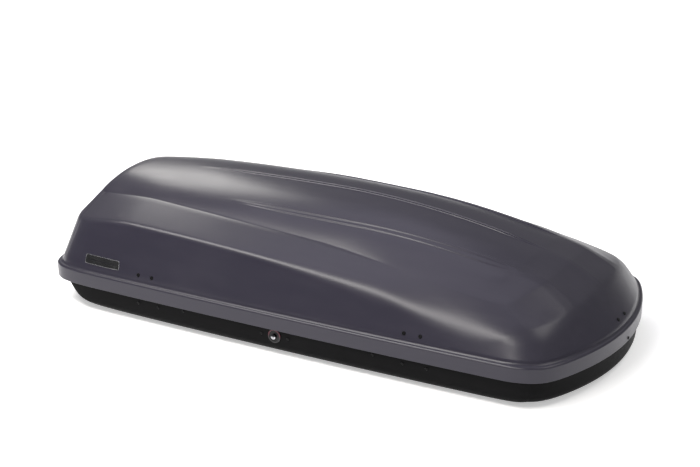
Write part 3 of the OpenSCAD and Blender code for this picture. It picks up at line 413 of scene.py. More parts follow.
class Finishes:
    """Every finish on the box."""

    LID = Finish("lid_satin", FinishKind.MOULDED, (0.021, 0.019, 0.031), (0.025, 0.0225, 0.035), 0.28, 0.06,
                 1100.0, 0.00005, 0.008, 0.0, 2.2, 0.2, 0.4)
    TRAY = Finish("tray_texture", FinishKind.MOULDED, (0.004, 0.004, 0.0044), (0.007, 0.007, 0.0074), 0.5, 0.12,
                  520.0, 0.0002, 0.0, 0.0, 5.0, 0.22, 0.06)
    BLACK = Finish("fitting_black", FinishKind.MOULDED, (0.01, 0.01, 0.0105), (0.018, 0.018, 0.0185), 0.42, 0.15,
                   900.0, 0.00008, 0.06, 0.0, 14.0, 0.25, 0.25)
    RIVET = Finish("rivet_black", FinishKind.PAINTED, (0.004, 0.004, 0.0044), (0.01, 0.01, 0.0104), 0.36, 0.2,
                   1500.0, 0.00002, 0.0, 0.0, 60.0, 0.15, 0.14)
    PLATE = Finish("plate_black", FinishKind.MOULDED, (0.008, 0.008, 0.009), (0.02, 0.02, 0.021), 0.16, 0.16,
                   1400.0, 0.00001, 0.04, 0.5, 30.0, 0.15)
    PLATE_EDGE = Finish("plate_edge", FinishKind.PLATED, (0.62, 0.62, 0.64), (0.45, 0.45, 0.47), 0.22, 0.15,
                        900.0, 0.00001, 0.0, 0.0, 60.0, 0.15)
    RED = Finish("ring_red", FinishKind.MOULDED, (0.022, 0.021, 0.023), (0.03, 0.029, 0.031), 0.3, 0.2,
                 1200.0, 0.00002, 0.0, 0.0, 50.0, 0.2, 0.4, (0.085, 0.016, 0.026))
    # Chrome with its upper half painted near-black: painted shade from the recess above the lock barrel.
    CHROME = Finish("chrome_plate", FinishKind.PLATED, (0.5, 0.5, 0.52), (0.34, 0.34, 0.35), 0.22, 0.2,
                    1500.0, 0.00001, 0.0, 0.0, 80.0, 0.15, 0.5, (0.012, 0.012, 0.013))
    BRASS = Finish("gear_brass", FinishKind.BRUSHED, (0.62, 0.47, 0.2), (0.4, 0.3, 0.14), 0.28, 0.2,
                   900.0, 0.00003, 0.0, 0.0, 60.0, 0.25)
    STRUT = Finish("strut_enamel", FinishKind.PAINTED, (0.016, 0.016, 0.017), (0.045, 0.045, 0.046), 0.28, 0.2,
                   1200.0, 0.00003, 0.05, 0.3, 30.0, 0.2)
    BRIGHT = Finish("ground_steel", FinishKind.BRUSHED, (0.7, 0.7, 0.72), (0.5, 0.5, 0.51), 0.16, 0.2,
                    900.0, 0.00002, 0.0, 0.0, 60.0, 0.2)
    ZINC = Finish("zinc_plate", FinishKind.BRUSHED, (0.5, 0.51, 0.53), (0.34, 0.34, 0.35), 0.34, 0.22,
                  700.0, 0.00005, 0.08, 0.0, 30.0, 0.28)


def dress(piece: bpy.types.Object, finish: Finish) -> None:
    """Gives a piece one finish in place of what it had."""
    piece.data.materials.clear()
    piece.data.materials.append(finish.material())


class MeshBag:
    """Collects points in millimetres and faces, and turns them into one piece."""

    SHARP = math.radians(50.0)

    def __init__(self) -> None:
        """Starts an empty mesh."""
        self.points: list[np.ndarray] = []
        self.faces: list[np.ndarray] = []
        self.count = 0

    def _store(self, points: np.ndarray) -> int:
        """Adds points.

        Args:
            points: Points with shape (..., 3).

        Returns:
            Index of the first one.
        """
        first = self.count
        self.points.append(points.reshape(-1, 3))
        self.count += self.points[-1].shape[0]
        return first

    def band(self, rings: Sequence[np.ndarray]) -> None:
        """Adds quads between closed rings of equal length.

        Args:
            rings: The rings in turn.
        """
        first = self._store(np.stack(rings))
        size = rings[0].shape[0]
        level, spot = np.meshgrid(np.arange(len(rings) - 1), np.arange(size), indexing="ij")
        here = first + level * size + spot
        after = first + level * size + (spot + 1) % size
        self.faces.append(np.stack([here, after, after + size, here + size], -1).reshape(-1, 4))

    def grid(self, points: np.ndarray) -> None:
        """Adds quads over a grid.

        Args:
            points: Points with shape (rows, columns, 3).
        """
        first = self._store(points)
        rows, columns = points.shape[:2]
        row, column = np.meshgrid(np.arange(rows - 1), np.arange(columns - 1), indexing="ij")
        here = first + row * columns + column
        self.faces.append(np.stack([here, here + columns, here + columns + 1, here + 1], -1).reshape(-1, 4))

    def piece(self, name: str, merge: float = 0.01) -> bpy.types.Object:
        """Builds the piece with its doubled points merged and its normals facing out.

        Args:
            name: Name of the piece.
            merge: Distance in millimetres below which points are one.

        Returns:
            The new object, linked to the scene.
        """
        mesh = bpy.data.meshes.new(name)
        points = np.concatenate(self.points) * MM
        mesh.from_pydata(points.tolist(), [], np.concatenate(self.faces).tolist())
        shape = bmesh.new()
        shape.from_mesh(mesh)
        bmesh.ops.remove_doubles(shape, verts=shape.verts, dist=merge * MM)
        bmesh.ops.recalc_face_normals(shape, faces=shape.faces)
        shape.to_mesh(mesh)
        shape.free()
        mesh.shade_smooth()
        mesh.set_sharp_from_angle(angle=self.SHARP)
        return stand(name, mesh)


@dataclass(frozen=True)
class Outline:
    """Plan outline with bowed ends, bowed sides and rounded corners, in millimetres.

    Attributes:
        front: Reach of the nose.
        rear: Reach of the tail.
        side: Half width.
        nose_bow: How far the nose falls back at its corners.
        tail_bow: How far the tail falls back at its corners.
        front_side_bow: How far the sides close in at the nose.
        rear_side_bow: How far the sides close in at the tail.
        nose_powers: Squareness of the nose's corners along and across.
        tail_powers: Squareness of the tail's corners along and across.
    """

    front: float
    rear: float
    side: float
    nose_bow: float
    tail_bow: float
    front_side_bow: float
    rear_side_bow: float
    nose_powers: tuple[float, float]
    tail_powers: tuple[float, float]

    def at(self, p: np.ndarray, q: np.ndarray, inset: float = 0.0,
           widen: np.ndarray | float = 0.0) -> tuple[np.ndarray, np.ndarray]:
        """Point of the outline, or inside it.

        Args:
            p: Position along, -1 at the tail to 1 at the nose.
            q: Position across, -1 at the near side to 1 at the far side.
            inset: Distance inside the outline.
            widen: Extra half width.

        Returns:
            The x and y coordinates.
        """
        ahead = p >= 0
        reach = np.where(ahead, self.front - self.nose_bow * q * q, self.rear - self.tail_bow * q * q) - inset
        bow = np.where(ahead, self.front_side_bow, self.rear_side_bow)
        half = self.side + widen - inset - bow * p * p
        n = np.where(ahead, self.nose_powers[0], self.tail_powers[0])
        m = np.where(ahead, self.nose_powers[1], self.tail_powers[1])
        swell = 1 + np.abs(p) ** n * np.abs(q) ** m
        return reach * p / swell ** (1 / n), half * q / swell ** (1 / m)


@dataclass
class BoxForm:
    """Sizes and outlines of the box, shared by the lid and the tray, in millimetres."""

    half_l: float
    half_w: float
    band_bottom: float
    floor: float
    tray_top: float
    band_height: float = 45.0
    lid_wall: float = 4.0
    tray_wall: float = 4.0
    rim_gap: float = 7.0
    side_bow: float = 12.0
    nose_bow: float = 113.0
    tail_bow: float = 22.6
    shoulder: tuple[float, float, float] = (139.0, 35.0, 157.0)
    crease: tuple[float, float, float] = (177.0, 70.0, 193.0)
    nose_rise: float = 60.0
    tail_droop: float = 30.0
    crest_rise: float = 262.0
    crest_back: float = 40.0
    crest_drops: tuple[float, float] = (158.0, 38.0)
    dome_steep: float = 0.35
    wall_foot_in: float = 13.5
    wall_foot_rise: float = 10.0
    crease_in: float = 160.0
    crease_widen: float = 54.0
    land: float = 0.032
    land_fall: float = 1.4
    land_span: tuple[float, float] = (0.0, 0.6)
    steep_span: tuple[float, float] = (0.2, 0.9)
    dome_powers: tuple[int, int] = (4, 44)
    droop_span: tuple[float, float] = (0.63, 0.97)
    crease_droop: float = 0.75
    rim_powers: tuple[tuple[float, float], ...] = ((35, 16), (18, 10.7))
    shoulder_insets: tuple[float, float, float] = (91, 37, 54.3)
    shoulder_bows: tuple[float, ...] = (50, 20, 8, 28)
    shoulder_powers: tuple[tuple[float, float], ...] = ((26, 12), (14, 9))
    crease_ends: tuple[float, float] = (175, 58)
    crease_bows: tuple[float, ...] = (50, 2, 0, 70)
    crease_powers: tuple[tuple[float, float], ...] = ((12, 7), (20, 12))

    @classmethod
    def from_frame(cls) -> "BoxForm":
        """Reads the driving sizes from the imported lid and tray.

        Returns:
            The form.
        """
        lid_low, lid_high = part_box("lid_shell")
        tray_low, tray_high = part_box("base_tray")
        plate_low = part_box("bar_plate_front_near")[0]
        return cls(half_l=lid_high.x / MM, half_w=lid_high.y / MM, band_bottom=lid_low.z / MM,
                   floor=plate_low.z / MM - cls.tray_wall, tray_top=tray_high.z / MM)

    def __post_init__(self) -> None:
        """Works out the outlines from the driving sizes."""
        self.ledge = self.band_bottom + self.band_height
        self.wall_foot = self.ledge + self.wall_foot_rise
        self.tray_inset = self.lid_wall + self.rim_gap
        length, width = self.half_l, self.half_w
        self.rim = Outline(length, length, width, self.nose_bow, self.tail_bow, self.side_bow, self.side_bow,
                           *self.rim_powers)
        nose, tail, side = self.shoulder_insets
        self.shoulder_line = Outline(length - nose, length - tail, width - side, *self.shoulder_bows,
                                     *self.shoulder_powers)
        nose, tail = self.crease_ends
        self.crease_line = Outline(length - nose, length - tail, width - self.crease_in, *self.crease_bows,
                                   *self.crease_powers)

    def droop(self, part: np.ndarray) -> np.ndarray:
        """Fall of the shoulder towards the tail."""
        return self.tail_droop * ease(*self.droop_span, -part)

    def shoulder_z(self, x: np.ndarray, y: np.ndarray, ahead: np.ndarray) -> np.ndarray:
        """Height of the lower shoulder line.

        Args:
            x: Positions along in millimetres.
            y: Positions across in millimetres.
            ahead: Which of them lie in the nose half.

        Returns:
            The heights.
        """
        part = x / self.half_l
        across = y / self.shoulder_line.side
        rise = np.where(ahead, self.nose_rise * (1 - across * across), 0.0)
        return self.ledge + through(*self.shoulder, part) - self.droop(part) + rise

    def crease_z(self, x: np.ndarray) -> np.ndarray:
        """Height of the upper crease line."""
        part = x / self.half_l
        return self.ledge + through(*self.crease, part) - self.crease_droop * self.droop(part)

    def crest_z(self, x: np.ndarray) -> np.ndarray:
        """Height of the lid's middle line.

        Args:
            x: Positions along in millimetres.

        Returns:
            The heights.
        """
        run = x + self.crest_back
        ahead = run > 0
        part = np.where(ahead, run / (self.half_l + self.crest_back), run / (self.half_l - self.crest_back))
        return self.ledge + self.crest_rise - np.where(ahead, *self.crest_drops) * part * part

    def dome(self, p: np.ndarray, q: np.ndarray, inset: float = 0.0, drop: float = 0.0) -> np.ndarray:
        """Points of the dome inside the crease line.

        Args:
            p: Position along.
            q: Position across.
            inset: Distance inside the outer face.
            drop: Distance below the outer face.

        Returns:
            Points with shape (..., 3).
        """
        x, y = self.crease_line.at(p, q, inset, self.crease_widen * ease(0, 1, p))
        steep = self.dome_steep * (1 - ease(*self.steep_span, p))
        edge = 1 - self.land * (1 - ease(*self.land_span, p))
        rise = np.minimum(np.abs(q) / edge, 1.0)
        side_power, tail_power = self.dome_powers
        over = (1 - steep) * rise ** 2 + steep * rise ** side_power
        tail = np.where(p < 0, np.abs(p) ** tail_power, 0.0)
        low = 1 - (1 - over) * (1 - tail)
        top = self.crest_z(x)
        fall = self.land_fall * np.maximum(np.abs(q) - edge, 0.0) / self.land
        return np.stack([x, y, top - (top - self.crease_z(x) - self.land_fall) * low - fall - drop], -1)

    def rim_ring(self, p: np.ndarray, q: np.ndarray, inset: float, z: float) -> np.ndarray:
        """Ring parallel to the rim at one height."""
        x, y = self.rim.at(p, q, inset)
        return np.stack([x, y, np.full_like(x, z)], -1)

    def shoulder_ring(self, p: np.ndarray, q: np.ndarray, inset: float = 0.0, drop: float = 0.0) -> np.ndarray:
        """Ring along the lower shoulder's sharp corner.

        Args:
            p: Position along.
            q: Position across.
            inset: Distance inside the outer face.
            drop: Distance below the outer face.

        Returns:
            Points with shape (n, 3).
        """
        x, y = self.shoulder_line.at(p, q)
        inner_x, inner_y = self.shoulder_line.at(p, q, inset)
        return np.stack([inner_x, inner_y, self.shoulder_z(x, y, p >= 0) - drop], -1)


@dataclass
class RingLines:
    """Lines that run along and across the skins.

    Attributes:
        form: The box's form.
        along_steps: Steps from tail to nose.
        flute_side: Distance of the outer flutes from the middle.
        flute_lane: Lane on which the outer flutes run.
        flute_half: Half width of a flute.
        flute_splay: How far the outer flutes close in per length of the crease.
        bunch: How closely the lines along lie at the ends.
        near_step: Distance between the lines beside a flute.
        near_lines: Number of lines on each side of a flute.
        lane_gap: Room left beside the flutes and the crease.
    """

    form: BoxForm
    along_steps: int = 168
    flute_side: float = 176.0
    flute_lane: float = 0.62
    flute_half: float = 13.5
    flute_splay: float = 0.04
    bunch: float = 0.45
    near_step: float = 0.7
    near_lines: int = 20
    lane_gap: float = 0.07

    def __post_init__(self) -> None:
        """Lays out the lines and the closed ring round them."""
        even = np.linspace(-1, 1, self.along_steps + 1)
        self.along = even * (1 + self.bunch - self.bunch * even * even)
        inner = self.flute_lane / self.flute_side
        outer = (1 - self.flute_lane) / (self.form.half_w - self.form.crease_in - self.flute_side)
        near = np.arange(1, self.near_lines + 1) * self.near_step
        half = np.concatenate([
            near * inner, np.linspace(self.lane_gap, self.flute_lane - self.lane_gap, 12),
            self.flute_lane - near * inner, [self.flute_lane], self.flute_lane + near * outer,
            np.linspace(self.flute_lane + self.lane_gap, 1 - self.lane_gap, 7),
            1 - 0.05 * np.linspace(1, 0, 9) ** 1.6])
        half = np.unique(np.round(half, 6))
        self.across = np.concatenate([-half[::-1], [0.0], half])
        tail, nose = self.lane(-1.0, self.across), self.lane(1.0, self.across)
        ones = np.ones_like
        self.ring_p = np.concatenate([self.along[:-1], ones(nose[:-1]), self.along[:0:-1], -ones(tail[:0:-1])])
        self.ring_q = np.concatenate([-ones(self.along[:-1]), nose[:-1], ones(self.along[:0:-1]), tail[:0:-1]])
        self.grid_p = np.repeat(self.along[:, None], self.across.size, 1)
        self.grid_s = np.repeat(self.across[None, :], self.along.size, 0)
        self.grid_q = self.lane(self.grid_p, self.grid_s)

    def lane(self, p: np.ndarray | float, s: np.ndarray) -> np.ndarray:
        """Position across for a lane, so that fixed lanes follow the flutes.

        Args:
            p: Position along.
            s: The lane, from -1 to 1.

        Returns:
            The position across, from -1 to 1.
        """
        width = self.form.half_w - self.form.crease_in + self.form.crease_widen * ease(0, 1, p)
        edge = (self.flute_side - self.flute_splay * self.form.crease_line.front * p) / width
        size = np.abs(s)
        outside = edge + (size - self.flute_lane) / (1 - self.flute_lane) * (1 - edge)
        return np.sign(s) * np.where(size <= self.flute_lane, size / self.flute_lane * edge, outside)


@dataclass
class LidSkin:
    """Lid with its band, ledge, leaning wall, rounded shoulder, crease and fluted dome."""

    form: BoxForm
    lines: RingLines
    flute_height: float = 4.95
    flute_starts: tuple[float, float] = (-0.7, -0.42)
    flute_ramp: float = 0.3
    flute_end: tuple[float, float] = (0.72, 0.93)
    flute_slim: float = 0.45
    flute_steps: tuple[float, float] = (0.14, 0.83)
    step_run: float = 0.16
    edge_round: float = 4.4
    foot_line: tuple[tuple[float, float], ...] = ((5.2, 0.7), (4.7, 1.1), (1.4, 4.5), (0.8, 5.6))
    round_rear: float = 14.0
    round_growth: float = 36.0
    corner_span: tuple[float, float] = (0.88, 0.82)
    fade_width: float = 90.0
    fade_span: tuple[float, float] = (0.25, 0.7)
    fade_rounds: int = 260
    fade_core: float = 0.3
    reach_limit: float = 0.48
    round_span: tuple[float, float] = (-0.3, 0.8)
    round_middle: float = 0.4
    round_across: float = 0.3

    def _flutes(self) -> np.ndarray:
        """Height of the three flutes over the dome's grid.

        Returns:
            A height for each point of the grid.
        """
        lines = self.lines
        p, s = lines.grid_p, np.abs(lines.grid_s)
        inner = lines.flute_side / lines.flute_lane
        outer = (self.form.half_w - self.form.crease_in - lines.flute_side) / (1 - lines.flute_lane)
        off = s - lines.flute_lane
        reach = np.stack([s * inner, np.where(off < 0, -off * inner, off * outer)])
        start = np.array(self.flute_starts)[:, None, None]
        taper = ease(start, start + self.flute_ramp, p[None]) * (1 - ease(*self.flute_end, p[None]))
        half = lines.flute_half * (self.flute_slim + (1 - self.flute_slim) * taper)
        crown = 1 - sum(np.clip((reach / half - step) / self.step_run, 0, 1) / 2 for step in self.flute_steps)
        return self.flute_height * (taper * crown).max(0)

    def _toward(self, start: np.ndarray, end: np.ndarray, reach: np.ndarray) -> np.ndarray:
        """Points on the way from one ring to another, never past the middle.

        Args:
            start: Ring to start from.
            end: Ring to go towards.
            reach: Distance from the start.

        Returns:
            Points with shape (n, 3).
        """
        way = end - start
        part = np.minimum(self.reach_limit, reach / np.linalg.norm(way, axis=-1))
        return start + way * part[:, None]

    def _shoulder(self, low: np.ndarray, high: np.ndarray, inset: float, drop: float,
                  steps: int) -> list[np.ndarray]:
        """Rings round the shoulder, from the wall to the upper facet.

        Args:
            low: Ring below the shoulder.
            high: Ring above it.
            inset: Distance inside the outer face.
            drop: Distance below the outer face.
            steps: Number of rings.

        Returns:
            The rings.
        """
        p, q = self.lines.ring_p, self.lines.ring_q
        corner = self.form.shoulder_ring(p, q, inset, drop)
        across = self.round_middle + (1 - self.round_middle) * ease(self.round_across, 1.0, np.abs(q))
        reach = self.round_rear + self.round_growth * ease(*self.round_span, p) * across
        start, end = self._toward(corner, low, reach), self._toward(corner, high, reach)
        return [start * (1 - t) ** 2 + corner * 2 * t * (1 - t) + end * t * t for t in np.linspace(0, 1, steps)]

    def _between(self, start: np.ndarray, end: np.ndarray, steps: int) -> list[np.ndarray]:
        """Rings between two rings, without the end ones."""
        return [start + (end - start) * t for t in np.linspace(0, 1, steps + 1)[1:-1]]

    def outside(self) -> bpy.types.Object:
        """Skin of the lid, from the band's lower lip over the dome and back inside.

        Returns:
            The skin.
        """
        form, p, q = self.form, self.lines.ring_p, self.lines.ring_q
        foot_in, foot = form.wall_foot_in, form.wall_foot
        lip, ledge, top = form.band_bottom, form.ledge, self.edge_round
        section = [(form.lid_wall, lip), (1.2, lip), (0.35, lip + 0.35), (0, lip + 1.2)]
        section += [(0, z) for z in np.linspace(lip + 4, ledge - top - 2, 6)]
        section += [(0, ledge - top - 0.6), (0.15, ledge - top), (0.5, ledge - 0.8 * top),
                    (0.75 * top, ledge - 0.15 * top), (0.95 * top, ledge), (1.2 * top, ledge + 0.1),
                    (7.6, ledge + 0.5)]
        section += [(foot_in - back, ledge + rise) for back, rise in self.foot_line] + [(foot_in, foot)]
        rings = [form.rim_ring(p, q, inset, z) for inset, z in section]
        high = form.dome(p, q)
        bend = self._shoulder(rings[-1], high, 0.0, 0.0, 16)
        rings += self._between(rings[-1], bend[0], 10) + bend + self._between(bend[-1], high, 8) + [high]
        bag = MeshBag()
        bag.band(self._soften(rings[:-1]) + rings[-1:])
        dome = form.dome(self.lines.grid_p, self.lines.grid_q)
        dome[..., 2] += self._flutes()
        bag.grid(dome)
        self._inside(bag, form.lid_wall)
        skin = bag.piece("lid_skin")
        self._fade(skin)
        return skin

    def _soften(self, rings: list[np.ndarray]) -> list[np.ndarray]:
        """Rounds the upright corners at the nose.

        Args:
            rings: Closed rings of equal length.

        Returns:
            The rings with their nose corners evened out.
        """
        place = np.stack(rings)
        p, q = self.lines.ring_p, self.lines.ring_q
        for side in (-1, 1):
            spots = np.flatnonzero((p > self.corner_span[0]) & (side * q > self.corner_span[1]))
            first, last = spots[0], spots[-1]
            arc = place[:, first:last + 1]
            steps = np.linalg.norm(np.diff(arc, axis=1), axis=-1)
            part = np.concatenate([np.zeros((len(arc), 1)), np.cumsum(steps, 1)], 1)
            length = part[:, -1:]
            part = (part / length)[..., None]
            leave = place[:, first] - place[:, first - 1]
            reach = place[:, last + 1] - place[:, last]
            leave *= length / np.linalg.norm(leave, axis=-1, keepdims=True)
            reach *= length / np.linalg.norm(reach, axis=-1, keepdims=True)
            begin, end = (2 * part - 3) * part * part + 1, (3 - 2 * part) * part * part
            place[:, first:last + 1] = (begin * arc[:, :1] + end * arc[:, -1:]
                                        + part * (1 - part) ** 2 * leave[:, None]
                                        - (1 - part) * part * part * reach[:, None])
        return list(place)

    def _fade(self, skin: bpy.types.Object) -> None:
        """Evens out the upper crease towards the nose, where it runs out into the dome.

        Args:
            skin: The lid's skin, whose points are moved.
        """
        form, mesh = self.form, skin.data
        ring = form.dome(self.lines.ring_p, self.lines.ring_q)
        tree = KDTree(len(ring))
        for index, (x, y, _) in enumerate(ring):
            tree.insert((x, y, 0.0), index)
        tree.balance()
        points = np.empty(len(mesh.vertices) * 3)
        mesh.vertices.foreach_get("co", points)
        points = points.reshape(-1, 3) / MM
        share = ease(*self.fade_span, points[:, 0] / form.half_l)
        for index in np.flatnonzero(share):
            away = tree.find((points[index, 0], points[index, 1], 0.0))[2]
            share[index] *= 1 - ease(self.fade_core, 1.0, away / self.fade_width)
        pairs = np.empty(len(mesh.edges) * 2, dtype=int)
        mesh.edges.foreach_get("vertices", pairs)
        pairs = pairs.reshape(-1, 2)
        pairs = pairs[(share[pairs] > 0).any(1)]
        used, pairs = np.unique(pairs, return_inverse=True)
        first, second = pairs.reshape(-1, 2).T
        place, part = points[used], share[used, None]
        pull = 1 / np.maximum(np.linalg.norm(place[first] - place[second], axis=1), 0.5)
        total = np.bincount(first, pull, len(used)) + np.bincount(second, pull, len(used))
        for _ in range(self.fade_rounds):
            middle = np.stack([np.bincount(first, pull * place[second, axis], len(used))
                               + np.bincount(second, pull * place[first, axis], len(used)) for axis in range(3)], -1)
            place += part * (middle / total[:, None] - place)
        points[used] = place
        mesh.vertices.foreach_set("co", (points * MM).ravel())
        mesh.update()

    def _inside(self, bag: MeshBag, wall: float) -> None:
        """Adds the inner skin, from the dome down to the band's lip.

        Args:
            bag: Mesh that it is added to.
            wall: Thickness of the lid.
        """
        form, p, q = self.form, self.lines.ring_p, self.lines.ring_q
        foot = form.rim_ring(p, q, form.wall_foot_in + wall, form.wall_foot - wall / 2)
        high = form.dome(p, q, wall, wall)
        bend = self._shoulder(foot, high, wall, wall / 2, 9)
        rings = [high] + self._between(high, bend[-1], 3) + bend[::-1] + self._between(bend[0], foot, 3) + [foot]
        for inset, z in ((form.wall_foot_in + wall - 1, form.ledge - wall), (wall, form.ledge - wall),
                         (wall, form.band_bottom)):
            rings.append(form.rim_ring(p, q, inset, z))
        bag.band(rings)
        bag.grid(form.dome(self.lines.grid_p, self.lines.grid_q, wall, wall))

    def build(self) -> bpy.types.Object:
        """Builds and dresses the lid.

        Returns:
            The lid's skin, riding on the lid.
        """
        skin = self.outside()
        dress(skin, Finishes.LID)
        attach(skin, "lid")
        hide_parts("lid_shell")
        return skin


@dataclass
class TraySkin:
    """Shallow tray with rounded lower edges, floor ribs, a heel and a seat under its nose end."""

    form: BoxForm
    lines: RingLines
    foot_z: float = 34.0
    floor_side: float = 41.0
    floor_nose: float = 36.0
    floor_tail: float = 174.0
    slot_margin: float = 3.0
    rib_pitch: float = 90.0
    rib_parts: tuple[float, float] = (-0.55, 0.73)
    rib_size: tuple[float, float] = (16.0, 5.0)
    tail_gap: float = 4.0
    tail_sweep: float = 0.8
    bow_growth: float = 40.0
    power_falls: tuple[tuple[float, float], ...] = ((15, 6), (10, 5))
    foot_span: tuple[float, float] = (0.85, 1.0)
    heel_part: float = -0.5851
    foot_part: float = 0.4
    foot_size: tuple[float, float] = (70.0, 500.0)
    slots: list[tuple[Vector, Vector]] = field(default_factory=list)

    def _foot(self, p: np.ndarray) -> np.ndarray:
        """Height where the upright wall starts to round over, higher towards the tail."""
        top = self.form.tray_top - self.tail_gap
        return self.foot_z + (top - self.foot_z) * ease(*self.foot_span, -p)

    def _at(self, p: np.ndarray, q: np.ndarray, turn: float, inset: float, rise: float) -> np.ndarray:
        """Points of the tray at a turn of its lower edge.

        Args:
            p: Position along.
            q: Position across.
            turn: Degrees, 0 where the wall is upright and 90 where the floor is flat.
            inset: Distance inside the outer face.
            rise: Distance above the outer face.

        Returns:
            Points with shape (..., 3).
        """
        form, out = self.form, 1 - math.cos(math.radians(turn))
        powers = [tuple(power - fall * out for power, fall in zip(*pair))
                  for pair in zip(form.rim_powers, self.power_falls)]
        line = Outline(form.half_l - out * self.floor_nose, form.half_l - self.floor_tail * out ** self.tail_sweep,
                       form.half_w - out * self.floor_side, form.nose_bow, form.tail_bow + self.bow_growth * out,
                       form.side_bow, form.side_bow, *powers)
        x, y = line.at(p, q, form.tray_inset + inset)
        foot = self._foot(p)
        return np.stack([x, y, foot - (foot - form.floor - rise) * math.sin(math.radians(turn))], -1)

    def _shell(self) -> bpy.types.Object:
        """Tray's own skin, inside and outside.

        Returns:
            The skin.
        """
        form, p, q = self.form, self.lines.ring_p, self.lines.ring_q
        wall = form.tray_wall
        turns = np.linspace(90, 0, 15)
        rings = [self._at(p, q, turn, 0, 0) for turn in turns]
        high = form.rim_ring(p, q, form.tray_inset, form.tray_top - 1)
        rings += [rings[-1] + (high - rings[-1]) * part for part in np.linspace(0.2, 1, 5)]
        rim = [(0.3, form.tray_top - 0.3), (1, form.tray_top), (wall - 1, form.tray_top),
               (wall - 0.3, form.tray_top - 0.3), (wall, form.tray_top - 1)]
        rings += [form.rim_ring(p, q, form.tray_inset + inset, z) for inset, z in rim]
        rings += [self._at(p, q, turn, wall, wall) for turn in turns[::-1]]
        bag = MeshBag()
        bag.band(rings)
        grid_p, grid_q = self.lines.grid_p, self.lines.grid_q
        bag.grid(self._at(grid_p, grid_q, 90, 0, 0))
        bag.grid(self._at(grid_p, grid_q, 90, wall, wall))
        return bag.piece("tray_skin")

    def _cut_slots(self, skin: bpy.types.Object) -> None:
        """Opens the floor under each clamp plate's slot.

        Args:
            skin: The tray's skin.
        """
        for index, (low, high) in enumerate(self.slots):
            cutter = block(f"slot_{index}", low, high)
            cut = skin.modifiers.new(cutter.name, "BOOLEAN")
            cut.operation = "DIFFERENCE"
            cut.solver = "EXACT"
            cut.object = cutter
            view = bpy.context.evaluated_depsgraph_get()
            done = bpy.data.meshes.new_from_object(skin.evaluated_get(view))
            skin.modifiers.clear()
            skin.data = done
            bpy.data.objects.remove(cutter)

    def _heel(self) -> bpy.types.Object:
        """Pad under the tail end of the floor, with softened edges.

        Returns:
            The pad.
        """
        edge = self.heel_part * self.form.half_l
        ring = self._at(self.lines.ring_p, self.lines.ring_q, 88, 2, 0)
        plan = ring[ring[:, 0] < edge]
        order = np.argsort(np.arctan2(plan[:, 1], plan[:, 0] - edge + 1) % (2 * math.pi))
        plan = plan[order]
        middle = plan.mean(0)
        levels = [(2.0, 0.0), (0.6, 0.4), (0.0, 1.8), (0.0, self.form.floor + 1)]
        rings = []
        for inset, z in levels:
            way = middle[:2] - plan[:, :2]
            way /= np.linalg.norm(way, axis=1)[:, None]
            rings.append(np.column_stack([plan[:, :2] + way * inset, np.full(len(plan), z)]))
        bag = MeshBag()
        bag.band(rings)
        made = bag.piece("tray_heel")
        fill = bmesh.new()
        fill.from_mesh(made.data)
        bmesh.ops.holes_fill(fill, edges=fill.edges, sides=0)
        bmesh.ops.recalc_face_normals(fill, faces=fill.faces)
        fill.to_mesh(made.data)
        fill.free()
        return made

    def build(self) -> list[bpy.types.Object]:
        """Builds and dresses the tray, its heel, its seat and its floor ribs.

        Returns:
            The pieces, all riding on the base.
        """
        form = self.form
        skin = self._shell()
        self._cut_slots(skin)
        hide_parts("base_tray")
        foot_x = self.foot_part * form.half_l
        reach = Vector((self.foot_size[0] / 2, self.foot_size[1] / 2, 0))
        seat = block("tray_seat", Vector((foot_x, 0, 0)) - reach,
                     Vector((foot_x, 0, form.floor + 1)) + reach, 2.0)
        made = [skin, self._heel(), seat]
        floor_top = form.floor + form.tray_wall
        for index in range(-2, 3):
            middle = index * self.rib_pitch
            half, tall = self.rib_size[0] / 2, self.rib_size[1]
            low = Vector((self.rib_parts[0] * form.half_l, middle - half, floor_top - 1))
            high = Vector((self.rib_parts[1] * form.half_l, middle + half, floor_top + tall))
            made.append(block(f"floor_rib_{index + 3}", low, high, 2.0))
        for each in made:
            dress(each, Finishes.TRAY)
            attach(each, "base")
        return made


def block(name: str, low: Vector, high: Vector, soften: float = 0.0) -> bpy.types.Object:
    """Box between two corners.

    Args:
        name: Name of the piece.
        low: Lowest corner in millimetres.
        high: Highest corner in millimetres.
        soften: Width of the bevel on its edges in millimetres.

    Returns:
        The new object.
    """
    mesh = bpy.data.meshes.new(name)
    shape = bmesh.new()
    size = (high - low) * MM
    middle = (high + low) / 2 * MM
    bmesh.ops.create_cube(shape, size=1.0, matrix=Matrix.Translation(middle) @ Matrix.Diagonal((*size, 1.0)))
    if soften > 0:
        bmesh.ops.bevel(shape, geom=shape.edges[:], offset=soften * MM, segments=3, affect="EDGES", profile=0.5)
    shape.to_mesh(mesh)
    shape.free()
    mesh.shade_smooth()
    mesh.set_sharp_from_angle(angle=MeshBag.SHARP)
    return stand(name, mesh)


